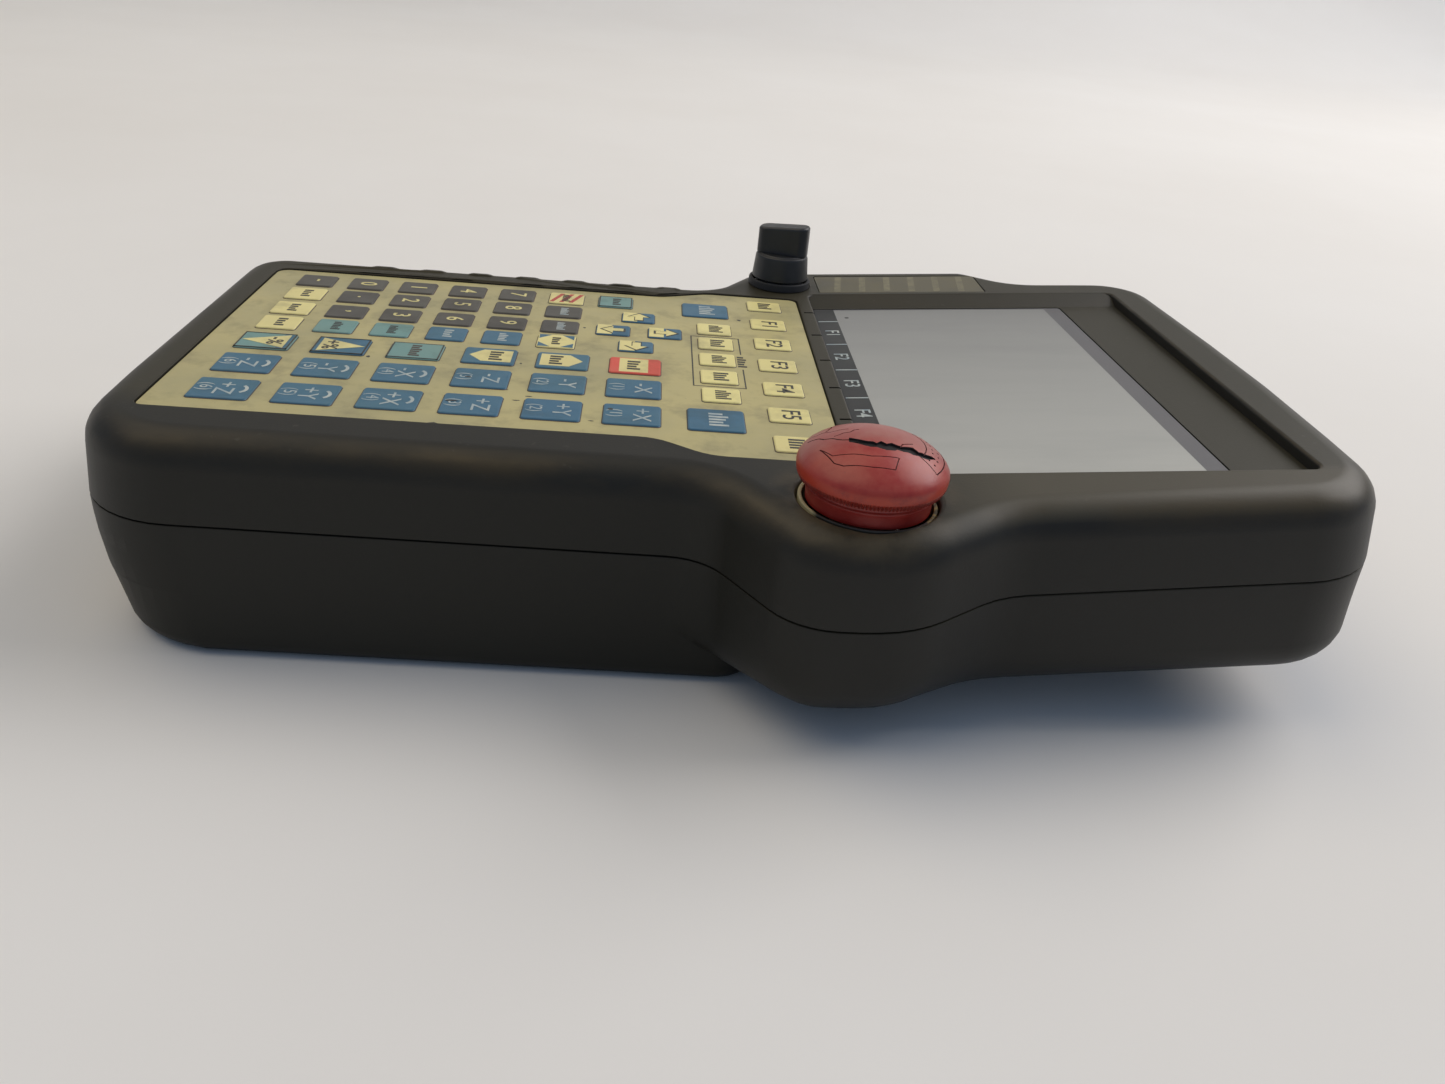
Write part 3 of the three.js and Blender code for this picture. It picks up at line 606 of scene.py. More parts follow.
RUBBER = plain_paint("rubber", (0.012, 0.012, 0.012), (0.022, 0.021, 0.02), 0.8)
LEVER_GREY = plain_paint("lever_grey", (0.085, 0.083, 0.075), (0.12, 0.115, 0.10), 0.5, scale=120, grain=1500)
STEEL = plain_paint("zinc_steel", (0.50, 0.50, 0.49), (0.36, 0.35, 0.33), 0.36, 1.0, scale=300)
BRASS = plain_paint("brass", (0.60, 0.44, 0.19), (0.46, 0.33, 0.14), 0.36, 1.0, scale=300)
BOARD_GREEN = plain_paint("board_green", (0.02, 0.11, 0.05), (0.03, 0.14, 0.07), 0.4, scale=200)
RIBBON_GREY = plain_paint("ribbon_grey", (0.28, 0.28, 0.28), (0.34, 0.34, 0.33), 0.5, scale=400)
MILKY = plain_paint("milky", (0.70, 0.70, 0.66), (0.62, 0.62, 0.57), 0.4, scale=100)
FLOOR = plain_paint("floor_paper", (0.79, 0.765, 0.715), (0.82, 0.80, 0.755), 0.9, scale=2.5)


# --- camera, light, floor

def add_camera():
    """From the stop button's side, looking down by 28 degrees, slightly rolled."""
    camera = added("camera", bpy.data.cameras.new("camera"))
    camera.data.sensor_width = 36
    camera.data.lens = LENS
    camera.data.clip_end = 50
    across = Vector((0.99532, -0.041475, 0.0872785))
    down = Vector((0.0572386, -0.4746586, -0.8783069))
    ahead = Vector((0.0778554, 0.8791923, -0.4700633))
    turn = Matrix((across, -down, -ahead)).transposed()
    camera.matrix_world = Matrix.Translation((Vector(EYE) - ORIGIN) * MM) @ turn.to_4x4()
    bpy.context.scene.camera = camera


def add_area(name, place_at, aim, size, power, colour):
    light = added(name, bpy.data.lights.new(name, "AREA"))
    light.data.shape = "RECTANGLE"
    light.data.size, light.data.size_y = size
    light.data.energy = power
    light.data.color = colour
    light.location = place_at
    light.rotation_euler = (Vector(aim) - Vector(place_at)).to_track_quat("-Z", "Y").to_euler()


def add_stage():
    """A sheet of paper that curves up into a wall."""
    bm = bmesh.new()
    profile = [(-14, 0.0)]
    profile += [(1.6 + 1.0 * math.sin(a), 1.0 - 1.0 * math.cos(a)) for a in (math.pi / 32 * k for k in range(17))]
    profile += [(2.6, 3.5)]
    rows = [[bm.verts.new((x, y, z)) for x in (-14, 14)] for y, z in profile]
    for a, b in zip(rows, rows[1:]):
        bm.faces.new((a[0], a[1], b[1], b[0]))
    floor = workpiece(bm, "floor")
    floor.data.shade_smooth()
    floor.data.materials.append(FLOOR)


def add_light():
    world = bpy.data.worlds.new("room")
    world.use_nodes = True
    sky = world.node_tree.nodes["Background"].inputs
    sky["Color"].default_value = (0.52, 0.69, 1.0, 1)
    sky["Strength"].default_value = 0.37
    bpy.context.scene.world = world
    bpy.context.scene.view_settings.view_transform = "Standard"
    add_area("window", (1.7, 0.8, 1.6), (0.1, 0.1, 0), (2.0, 1.6), 40, (1.0, 0.95, 0.92))
    add_area("ceiling", (-1.1, 0.3, 2.2), (0, 0, 0), (2.6, 2.2), 24, (1.0, 0.82, 0.54))


# --- casing

def front_edge(inset, radius, z0, z1, steps=8):
    """Levels up a front shell's wall and round its edge."""
    levels = [(inset + 0.35, z0), (inset + 0.1, z0 + 0.1), (inset, z0 + 0.35)]
    for k in range(steps + 1):
        a = math.pi / 2 * k / steps
        z = z1 - radius * (1 - math.sin(a))
        share = max(0, 1 - z / PARTING_Z)
        levels.append((inset + radius * (1 - math.cos(a)), z, {
            "left": LEFT_FRONT_TAPER * share, "right": RIGHT_FRONT_TAPER * share, "rib": max(a, 1e-3)}))
    return levels


def back_edge(inset, radius, z0, z1, steps=8):
    """Levels up a rear shell's rounded edge and wall."""
    levels = []
    for k in range(steps, -1, -1):
        a = math.pi / 2 * k / steps
        inwards, upwards = radius * (1 - math.cos(a)), radius * (1 - math.sin(a))
        levels.append((inset + inwards, z0 + upwards, {"rounding": (inwards, upwards), **lean(z0 + upwards)}))
    for share in (0.45, 0.75):
        z = z0 + radius + (z1 - z0 - radius) * share
        levels.append((inset, z, lean(z)))
    return levels + [(inset, z1 - 0.35, lean(z1)), (inset + 0.1, z1 - 0.1, lean(z1)), (inset + 0.35, z1, lean(z1))]


def lean(z):
    """How far each end of the rear shell leans in at z."""
    share = (max(0, PARTING_Z - z) / (PARTING_Z - KEYPAD_BACK_Z)) ** 2
    return {"left": LEFT_TAPER * share, "right": RIGHT_TAPER * share}


def lip_steps(lip):
    """Outward and downward steps round a lip, from its foot to its top."""
    angles = [math.radians(88) * k / 5 for k in range(1, 6)]
    return [(lip * (1 - math.cos(a)), lip * (1 - math.sin(a))) for a in angles]


def lipped(corners, depth, lip):
    """A cutter for a recess whose rim is rounded over by lip."""
    rim = [(-out, -down) for out, down in lip_steps(lip)]
    return loft([(0, -depth), (0, -lip), *rim, (-lip * 1.05, 3)], rounded_plan(corners))


def lipped_hole(x, y, radius, depth, lip):
    rim = [(radius + out, -down) for out, down in lip_steps(lip)]
    profile = [(0, -depth), (radius, -depth), (radius, -lip), *rim, (radius + lip * 1.05, 3), (0, 3)]
    return turned(profile, x, y, 96)


def rectangle(x0, x1, y0, y1, corner):
    return [(x0, y0, corner), (x1, y0, corner), (x1, y1, corner), (x0, y1, corner)]


def flat_box(node):
    """A CAD node's box in the flat frame: x0, x1, y0, y1."""
    lowest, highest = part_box(node)
    lowest, highest = lowest / MM + ORIGIN, highest / MM + ORIGIN
    return lowest.x, highest.x, lowest.y, highest.y


def extruded_along_x(outline, x0, x1):
    """A prism from (y, z) points, which run counter-clockwise as seen from +X."""
    bm = bmesh.new()
    ends = [[bm.verts.new((x, y, z)) for y, z in outline] for x in (x0, x1)]
    bridge(bm, ends[1], ends[0])
    bm.faces.new(ends[1])
    bm.faces.new(reversed(ends[0]))
    bmesh.ops.recalc_face_normals(bm, faces=bm.faces[:])
    return bm


def hoop(edge, z0, z1):
    """A band along the middle of the wall, edge mm in from both of its faces."""
    band = workpiece(loft([(edge, z0), (edge, z1)], rounded_plan(CASE_PLAN)))
    carve(band, loft([(WALL - edge, z0 - 1), (WALL - edge, z1 + 1)], rounded_plan(CASE_PLAN)))
    return taken(band)


def stop_land(gap, z0, z1):
    return rod(STOP.x, STOP.y, STOP_LAND + gap, z0, z1, 96)


def display_recess():
    cutter = workpiece(lipped(RECESS_PLAN, RECESS_DEPTH, 0.8))
    land = [(0, -6), (STOP_LAND, -6), (STOP_LAND, -0.8), (STOP_LAND - 0.2, -0.3), (STOP_LAND - 0.7, 0.02), (0, 0.02)]
    carve(cutter, turned(land, STOP.x, STOP.y, 96))
    far = RECESS_PLAN[2][1]
    slope = [(RECESS_FOOT, -RECESS_DEPTH - 2), (far + 3, -RECESS_DEPTH - 2), (far + 3, 0.3), (far + 1.4, 0.02),
             (far + 0.6, -0.1), (far - 0.4, -0.5), (RECESS_FOOT + 0.6, -RECESS_DEPTH + 0.2),
             (RECESS_FOOT, -RECESS_DEPTH - 0.02)]
    carve(cutter, extruded_along_x(slope, RECESS_PLAN[0][0] - 10, RECESS_PLAN[1][0] + 10))
    return taken(cutter)


def lipped_below(corners, floor, lip, bottom):
    """A cutter for a pocket that opens downwards, its mouth rounded over by lip."""
    rim = [(-out, bottom + down) for out, down in reversed(lip_steps(lip))]
    return loft([(-lip * 1.05, bottom - 9), *rim, (0, bottom + lip), (0, floor)], rounded_plan(corners))


def extruded(points, z0, z1, material=0):
    """A prism over a plan outline."""
    bm = bmesh.new()
    lower = [bm.verts.new((x, y, z0)) for x, y in points]
    upper = [bm.verts.new((x, y, z1)) for x, y in points]
    bridge(bm, lower, upper, material)
    for face in (bm.faces.new(reversed(lower)), bm.faces.new(upper)):
        face.material_index = material
    bmesh.ops.recalc_face_normals(bm, faces=bm.faces[:])
    return bm


def lying(bm, y, z):
    """A body turned about the vertical through 0, 0, laid along +X through (y, z)."""
    for v in bm.verts:
        v.co = Vector((v.co.z, y + v.co.y, z - v.co.x))
    return bm


def rod(x, y, radius, z0, z1, sides=48):
    return turned([(0, z0), (radius, z0), (radius, z1), (0, z1)], x, y, sides)


def mirrored(bm):
    for v in bm.verts:
        v.co.y = 2 * MIDDLE_Y - v.co.y
    bmesh.ops.reverse_faces(bm, faces=bm.faces[:])
    return bm


def both_sides(make):
    return [make(), mirrored(make())]


def bent(bm):
    """The body with the display end raised, still in the flat frame's millimetres."""
    split_at_bend(bm)
    for v in bm.verts:
        v.co.z += rise(v.co.x)
    return bm


def add_front_shell():
    plan = filled_in(rounded_plan(CASE_PLAN), 0.9, 118)
    shell = workpiece(loft(front_edge(0, RIM_RADIUS, PARTING_Z, 0), plan))
    carve(shell, loft(front_edge(WALL, RIM_RADIUS - WALL, PARTING_Z - 1, -3.6, 3), rounded_plan(CASE_PLAN)))
    carve(shell, rounded_box(155, 267, -30.5, 112.5, -8, -2, 4, 0.5), "UNION")
    carve(shell, rod(STOP.x, STOP.y, STOP_HOLE + 2.2, -8, -2.5), "UNION")
    x0, x1, y0, y1 = flat_box("status_label")
    pane = workpiece(loft([(-0.3, -5.4), (-0.3, 0)], rounded_plan(PANE_PLAN)))
    carve(pane, stop_land(0, -12, 6))
    beneath = workpiece(loft([(3, -12), (3, 0)], rounded_plan(PANE_PLAN)))
    carve(beneath, stop_land(1, -13, 6))
    half = 0.45
    ticks = [extruded([(153.6, y - half), (157.5, y - half), (157.5, y + half), (153.6, y + half)], -0.7, 2)
             for y in TICKS_Y]
    cutters = [
        hoop(0.7, PARTING_Z - 1, PARTING_Z + 1.1),
        lipped(SHEET_PLAN, SHEET_DEPTH, 0.35),
        loft([(2.5, -10), (2.5, 0)], rounded_plan(SHEET_PLAN)),
        display_recess(),
        taken(pane),
        taken(beneath),
        lipped(rectangle(x0 - 0.3, x1 + 0.3, y0 - 0.3, y1 + 0.3, 0.8), 0.9, 0.2),
        lipped_hole(STOP.x, STOP.y, STOP_HOLE, 12, 1.2),
        lipped_hole(SELECTOR.x, SELECTOR.y, 6.3, 12, 0.3),
        together(*ticks),
    ]
    for cutter in cutters:
        carve(shell, cutter)
    shell = workpiece(bent(taken(shell)))
    carve(shell, rod(SELECTOR.x, SELECTOR.y, 10.9, 0, 9, 96))
    piece = new_object("front_shell", taken(shell), bend=False)
    finish_piece(piece, "casing", ["front_case"], [CASING])


def rear_halves(inset, top, wall=0, steps=8):
    """The rear shell's shallow display part and deep keypad part, moved in by inset and thinned by wall."""
    return [
        loft(back_edge(inset, radius - wall, z + wall, top, steps), rounded_plan(plan))
        for radius, z, plan in ((DISPLAY_BACK_RADIUS, DISPLAY_BACK_Z, CASE_PLAN),
                                (KEYPAD_BACK_RADIUS, KEYPAD_BACK_Z, KEYPAD_PLAN))
    ]


def rear_outside(inset=0.0):
    display, keypad = rear_halves(inset, REAR_TOP)
    body = workpiece(display)
    carve(body, keypad, "UNION")
    return taken(body)


def add_rear_shell():
    shell = workpiece(rear_outside())
    for hollow in rear_halves(WALL, REAR_TOP + 1, WALL, 3):
        carve(shell, hollow)
    lever = rectangle(LEVER_X0 - 1, LEVER_X1 + 1, LEVER_Y0 - 1, LEVER_Y1 + 1, 2.5)
    backing = rectangle(LEVER_X0 - 5, LEVER_X1 + 5, LEVER_Y0 - 4, LEVER_Y1 + 4, 3)
    rooted = DISPLAY_BACK_Z + WALL - 1
    solid = workpiece(together(
        *both_sides(lambda: loft([(0, rooted), (0, POCKET_FLOOR + 2.5)], rounded_plan(backing))),
        loft([(0, -54), (0, -24)], rounded_plan(rectangle(-28, -12, INLET_Y - 15, INLET_Y + 15, 2))),
        *[rod(x, y, SCREW_BOSS, (KEYPAD_BACK_Z if x < BEND_X else DISPLAY_BACK_Z) + WALL - 1, REAR_TOP, 32)
          for x, y in SCREWS],
    ))
    carve(solid, rear_outside(0.8), "INTERSECT")
    carve(shell, taken(solid), "UNION")
    middle_x = (LEVER_X0 + LEVER_X1) / 2
    carve(shell, together(
        *both_sides(lambda: lipped_below(lever, POCKET_FLOOR, 0.9, DISPLAY_BACK_Z)),
        lying(rod(0, 0, INLET_POCKET, -60, INLET_FACE, 96), INLET_Y, INLET_Z),
        *[rod(x, y, SCREW_WELL, -70, SCREW_SEAT_Z) for x, y in SCREWS],
    ))
    carve(shell, together(
        *both_sides(lambda: rod(middle_x, PLUNGER_Y, 2.9, -44, -30)),
        lying(rod(0, 0, INLET_BORE, -60, 0), INLET_Y, INLET_Z),
        *both_sides(lambda: lying(rod(0, 0, PIN_BORE, LEVER_X0 - 3.5, LEVER_X1 + 3.5, 24), PIN_Y, PIN_Z)),
        *[rod(x, y, SCREW_BORE, -31, 0, 16) for x, y in SCREWS],
    ))
    carve(shell, hoop(0.7, REAR_TOP - 1.1, REAR_TOP + 1))
    piece = new_object("rear_shell", taken(shell))
    finish_piece(piece, "casing", ["rear_case"], [CASING])


def add_gasket():
    piece = new_object("gasket", hoop(1, PARTING_Z - 1.1, PARTING_Z + 0.8))
    finish_piece(piece, "casing", ["case_gasket"], [RUBBER])


# --- key sheet

INK_RISE = 0.025              # how far one layer of print stands above the one below it


class Print:
    """Raised print and keys of one sheet, gathered as bodies with a paint number each."""

    def __init__(self, paints):
        self.paints = paints
        self.bodies = []

    def number(self, paint):
        return self.paints.index(paint)

    def patch(self, points, paint, base=KEY_TOP, layer=1):
        self.bodies.append(extruded(points, base - 0.1, base + INK_RISE * layer, self.number(paint)))

    def bar(self, x0, x1, y0, y1, paint, base=KEY_TOP, layer=1):
        self.patch([(x0, y0), (x1, y0), (x1, y1), (x0, y1)], paint, base, layer)

    def frame(self, x0, x1, y0, y1, width, paint, base=KEY_TOP, layer=1):
        self.bar(x0, x0 + width, y0, y1, paint, base, layer)
        self.bar(x1 - width, x1, y0, y1, paint, base, layer)
        self.bar(x0, x1, y0, y0 + width, paint, base, layer)
        self.bar(x0, x1, y1 - width, y1, paint, base, layer)

    def arc(self, x, y, radius, width, half_angle, paint):
        """A bow open towards -X, like a small turning mark."""
        angles = [half_angle * (k / 8 - 1) for k in range(17)]
        outer = [(x + radius * math.cos(a), y + radius * math.sin(a)) for a in angles]
        radius -= width
        inner = [(x + radius * math.cos(a), y + radius * math.sin(a)) for a in reversed(angles)]
        self.patch(outer + inner, paint)

    def disc(self, x, y, radius, paint, base=KEY_TOP, layer=1):
        angles = [math.pi / 8 * k for k in range(16)]
        self.patch([(x + radius * math.cos(a), y + radius * math.sin(a)) for a in angles], paint, base, layer)

    def text(self, words, x, y, height, paint, base=KEY_TOP, layer=2, bold=0.02):
        """Figures or letters centred on (x, y), read from the display end: lines run to -Y, tops to +X."""
        curve = bpy.data.curves.new("text", "FONT")
        curve.body = words
        curve.offset = bold
        curve.extrude = 0.5
        curve.resolution_u = 3
        holder = added("text", curve)
        bpy.context.view_layer.update()
        graph = bpy.context.evaluated_depsgraph_get()
        mesh = bpy.data.meshes.new_from_object(holder.evaluated_get(graph), depsgraph=graph)
        bpy.data.objects.remove(holder)
        bm = bmesh.new()
        bm.from_mesh(mesh)
        bpy.data.meshes.remove(mesh)
        bmesh.ops.remove_doubles(bm, verts=bm.verts[:], dist=1e-4)
        xs = [v.co.x for v in bm.verts]
        ys = [v.co.y for v in bm.verts]
        u0, v0 = (min(xs) + max(xs)) / 2, (min(ys) + max(ys)) / 2
        scale = height / CAP_HEIGHT
        top = base + INK_RISE * layer
        for v in bm.verts:
            u, w = (v.co.x - u0) * scale, (v.co.y - v0) * scale
            v.co = Vector((x + w, y - u, top if v.co.z > 0 else base - 0.1))
        bmesh.ops.recalc_face_normals(bm, faces=bm.faces[:])
        for face in bm.faces:
            face.material_index = self.number(paint)
        self.bodies.append(bm)

    def word(self, x, y, length, height, count, paint, base=KEY_TOP, layer=2):
        """A row of small blocks where the object has a word."""
        step = length / count
        for k in range(count):
            middle_y = y - length / 2 + step * (k + 0.5)
            tall = height * (1, 0.72, 0.86)[k % 3]
            low = x - height / 2
            self.bar(low, low + tall, middle_y - step * 0.30, middle_y + step * 0.30, paint, base, layer)

    def key(self, x, y, w, h, paint, edge):
        """An embossed key: a softly rounded top, and painted shade at its foot, where the faces of the foot take the
        darker paint edge.
        """
        corner = 0.9
        plan = rounded_plan(rectangle(x - w / 2, x + w / 2, y - h / 2, y + h / 2, corner), math.pi / 8)
        levels = [(-0.22, FILM_TOP - 0.15), (-0.22, FILM_TOP + 0.03), (-0.02, FILM_TOP + 0.14),
                  (0.10, KEY_TOP - 0.12), (0.28, KEY_TOP - 0.03), (0.5, KEY_TOP)]
        bm = loft(levels, plan)
        # Painted shade: the faces round the foot, where the key meets the film, take the paint edge.
        colour, dark = self.number(paint), self.number(edge)
        for face in bm.faces:
            highest = max(v.co.z for v in face.verts)
            face.material_index = dark if highest < FILM_TOP + 0.2 else colour
        self.bodies.append(bm)


def jog_keys(sheet):
    """Two rows of jog keys: sign and axis letter, a turning mark, and the axis number in brackets."""
    axes = "ZYXZYX"
    for column in range(6):
        x = 20 * column
        for y, sign in ((ROW_Y["plus"], "+"), (ROW_Y["minus"], "-")):
            sheet.key(x, y, *JOG_KEY, KEY_BLUE, KEY_SHADE_AND_DARK_INK)
            sheet.text(sign + axes[column], x + (0.7 if column < 3 else 2.6), y - 0.2, 4.7, INK_WHITE, bold=0.0)
            sheet.text("(%d)" % (6 - column), x - 4.5, y + 0.2, 3.2, INK_WHITE, bold=0.0)
            if column < 3:
                sheet.arc(x + 3.0, y - 0.2, 3.1, 0.85, 0.95, INK_WHITE)


def pentagon(x, y, w, h, point, way):
    """A block that comes to a point: way is 1 towards +X, -1 towards -X."""
    tip, shoulder, tail = x + way * w / 2, x + way * (w / 2 - point), x - way * w / 2
    return [(tail, y - h / 2), (shoulder, y - h / 2), (tip, y), (shoulder, y + h / 2), (tail, y + h / 2)][::way]


def special_keys(sheet):
    y = ROW_Y["special"]
    for x, way in ((0, -1), (20, 1)):
        # These keys take black ink as painted shade at their foot.
        sheet.key(x, y, *SPECIAL_KEY, KEY_BLUE if way > 0 else KEY_TEAL, BLACK_INK_AND_KEY_SHADE)
        if way < 0:
            sheet.bar(x + 3.8, x + 6.4, y - 5.4, y + 5.4, KEY_BLUE)
        wedge = [(x - way * 5.6, y - 5.1), (x + way * 6.3, y), (x - way * 5.6, y + 5.1)][::way]
        sheet.patch(wedge, KEY_CREAM, layer=2)
        sheet.text("+%" if way > 0 else "-%", x - way * 2.6, y, 4.0, BLACK_INK_AND_KEY_SHADE, layer=3)
        sheet.frame(x - 6.9, x + 6.9, y - 5.9, y + 5.9, 0.35, BLACK_INK_AND_KEY_SHADE, layer=3)
    sheet.key(40, y, *SPECIAL_KEY, KEY_TEAL, BLACK_INK_AND_KEY_SHADE)
    sheet.frame(33.1, 46.9, y - 5.9, y + 5.9, 0.35, BLACK_INK_AND_KEY_SHADE)
    sheet.word(40, y, 9, 3.0, 6, KEY_SHADE_AND_DARK_INK)
    for x, way in ((60, -1), (80, 1)):
        sheet.key(x, y, *SPECIAL_KEY, KEY_BLUE, KEY_SHADE_AND_DARK_INK)
        sheet.patch(pentagon(x - way * 0.3, y, 11.6, 9.0, 3.6, way), KEY_CREAM)
        sheet.word(x - way * 1.8, y, 7.4, 3.6, 4, BLACK_INK_AND_KEY_SHADE, layer=3)
    sheet.key(100, y, *SPECIAL_KEY, KEY_RED, KEY_SHADE_AND_DARK_INK)
    sheet.bar(95.6, 103.6, y - 5.3, y + 5.3, KEY_CREAM)
    sheet.word(99.6, y, 7.6, 3.6, 4, BLACK_INK_AND_KEY_SHADE, layer=3)


def small_keys(sheet):
    """The number block and its neighbours; each column is read from the row next to the jog keys."""
    digits = {(0, "r1"): "-", (1, "r1"): "0", (1, "r2"): ".", (1, "r3"): ","}
    for column in (2, 3, 4):
        for k, row in enumerate(("r1", "r2", "r3")):
            digits[column, row] = str(3 * (column - 2) + k + 1)
    colours = {(5, "r2"): KEY_DARK, (5, "r3"): KEY_DARK, (1, "r4"): KEY_TEAL, (2, "r4"): KEY_TEAL,
               (3, "r4"): KEY_BLUE, (4, "r4"): KEY_BLUE, (6, "r1"): KEY_TEAL}
    colours.update({place_at: KEY_DARK for place_at in digits})
    for column in range(7):
        x = SMALL_PITCH * column + SMALL_LEFT
        for row in ("r1", "r2", "r3", "r4"):
            if column == 6 and row != "r1":
                continue
            y = ROW_Y[row]
            paint = colours.get((column, row), KEY_CREAM)
            # Each key's foot takes black ink or the darker key paint as painted shade.
            sheet.key(x, y, SMALL_KEY, SMALL_KEY, paint, BLACK_INK_AND_KEY_SHADE if column == 6 else KEY_SHADE_AND_DARK_INK)
            dark = paint in (KEY_DARK, KEY_BLUE)
            if (column, row) in digits:
                sheet.text(digits[column, row], x + 0.3, y, 5.0, KEY_CREAM, bold=0.006)
            elif (column, row) == (5, "r1"):
                for shift in (-3, 0, 3):
                    slash = [(x + shift - 2.2, y - 4.4), (x + shift - 0.9, y - 4.4),
                             (x + shift + 2.2, y + 4.4), (x + shift + 0.9, y + 4.4)]
                    sheet.patch(slash, INK_RED)
                sheet.word(x, y, 7.4, 2.6, 5, BLACK_INK_AND_KEY_SHADE, layer=3)
            elif (column, row) == (5, "r4"):
                for sx in (-1, 1):
                    for sy in (-1, 1):
                        corner = [(x + sx * 5.0, y + sy * 5.0), (x + sx * 1.6, y + sy * 5.0),
                                  (x + sx * 5.0, y + sy * 1.6)]
                        sheet.patch(corner[::sx * sy], KEY_BLUE)
                sheet.word(x, y, 6.4, 2.4, 4, BLACK_INK_AND_KEY_SHADE, layer=3)
            else:
                sheet.word(x + 0.4, y, 7.0, 2.6, 4 + column % 3, INK_WHITE if dark else BLACK_INK_AND_KEY_SHADE)
    x = SMALL_PITCH * 6 + SMALL_LEFT
    sheet.frame(x - 5.2, x + 5.2, ROW_Y["r1"] - 5.2, ROW_Y["r1"] + 5.2, 0.35, BLACK_INK_AND_KEY_SHADE)


def arrow_keys(sheet):
    """Cream on the keypad side, blue on the other, with an arrow that points outwards."""
    for x, y, turn in ((100, 78.9, 90), (92.7, 65.4, 180), (108.2, 65.6, 0), (99.8, 52, -90)):
        sheet.key(x, y, 10, 9, KEY_BLUE, KEY_SHADE_AND_DARK_INK)
        sheet.bar(x - 4.7, x - 0.3, y - 4.2, y + 4.2, KEY_CREAM)
        outline = [(3.4, 0), (0.2, -3.0), (0.2, -1.2), (-2.9, -1.2), (-2.9, 1.2), (0.2, 1.2), (0.2, 3.0)]
        for grow, paint, layer in ((1.22, BLACK_INK_AND_KEY_SHADE, 2), (1.0, KEY_CREAM, 3)):
            points = []
            for u, v in outline:
                place_at = Vector((u * grow, v * grow))
                place_at.rotate(Matrix.Rotation(math.radians(turn), 2))
                points.append((x + 0.2 + place_at.x, y + place_at.y))
            sheet.patch(points, paint, layer=layer)


def edge_keys(sheet):
    for x, y, h in ((121, 91, 13), (121.3, 0.1, 14)):
        sheet.key(x, y, 14.5, h, KEY_BLUE, KEY_SHADE_AND_DARK_INK)
        sheet.word(x + 0.6, y, 9.0, 5.0, 5, INK_WHITE)
    for k, y in enumerate((72.8, 59.4, 45.5, 31.4, 17.6)):
        sheet.key(123.3, y, 10.3, 9.9, KEY_CREAM, KEY_SHADE_AND_DARK_INK)
        sheet.word(123.8, y, 6.6, 4.2, 4 if k % 2 else 5, BLACK_INK_AND_KEY_SHADE)
    outline = {"paint": BLACK_INK_AND_KEY_SHADE, "base": FILM_TOP}
    for bar in ((115.9, 116.3, 24.4, 66.4), (130.2, 130.6, 24.4, 39.5), (130.2, 130.6, 52.0, 66.4),
                (115.9, 130.6, 24.4, 24.8), (115.9, 130.6, 66.0, 66.4)):
        sheet.bar(*bar, **outline)
    sheet.word(130.4, 45.7, 9.4, 2.6, 5, BLACK_INK_AND_KEY_SHADE, base=FILM_TOP)
    for k, words in enumerate(("", "F1", "F2", "F3", "F4", "F5", "")):
        y = 100 - 18.7 * k
        sheet.key(140.6, y, 10.9, 9.6, KEY_CREAM, KEY_SHADE_AND_DARK_INK)
        if words:
            sheet.text(words, 141.1, y, 4.9, BLACK_INK_AND_KEY_SHADE, bold=0.006)
        else:
            sheet.word(140.8, y, 6.4, 4.2, 4, BLACK_INK_AND_KEY_SHADE)


def torn_patch(x, y, across, along, rng):
    """An irregular outline, for a stain or a tear."""
    outline = []
    for k in range(9):
        a = math.tau * k / 9
        reach = rng.uniform(0.55, 1.0)
        outline.append((x + across * reach * math.cos(a), y + along * reach * math.sin(a)))
    return outline


def stains(sheet):
    """Dark specks worn through the film between the keys, and two tears at its near edge."""
    rng = random.Random(11)
    specks = [(28.4, 29.7, 0.7, 0.9), (67, 12.4, 0.9, 0.5), (70.4, 5.4, 1.3, 0.5), (73.4, 8.6, 1.2, 0.35),
              (68.8, 32.3, 0.4, 0.6), (131.6, 84.6, 0.8, 0.9), (84.1, 66.7, 0.5, 0.7), (90, -4.8, 0.9, 0.4),
              (46.8, -12.9, 3.4, 0.7), (52.6, -12.7, 1.9, 0.9), (102.6, 21.5, 0.5, 0.6)]
    for x, y, across, along in specks:
        sheet.patch(torn_patch(x, y, across, along, rng), BLACK_INK_AND_KEY_SHADE, base=FILM_TOP)
    for x, y, across, along in ((55.0, 1.2, 1.9, 0.6), (56.6, 18.4, 0.9, 0.5), (94.5, 2.6, 0.8, 0.9)):
        sheet.patch(torn_patch(x, y, across, along, rng), BLACK_INK_AND_KEY_SHADE, layer=3)


def add_key_sheet():
    sheet = Print([FILM, KEY_SHADE_AND_DARK_INK, KEY_CREAM, KEY_BLUE, KEY_TEAL, KEY_DARK, KEY_RED,
                   INK_WHITE, BLACK_INK_AND_KEY_SHADE, INK_RED, INK_OLIVE])
    low_z = -SHEET_DEPTH + SHEET_GAP
    film = [(SHEET_GAP, low_z), (SHEET_GAP, FILM_TOP - 0.12), (SHEET_GAP + 0.12, FILM_TOP)]
    sheet.bodies.append(loft(film, rounded_plan(SHEET_PLAN)))
    jog_keys(sheet)
    special_keys(sheet)
    small_keys(sheet)
    arrow_keys(sheet)
    edge_keys(sheet)
    stains(sheet)
    piece = new_object("key_film", together(*sheet.bodies), smooth_angle=35)
    finish_piece(piece, "casing", ["key_sheet"], sheet.paints)


# --- display and strip

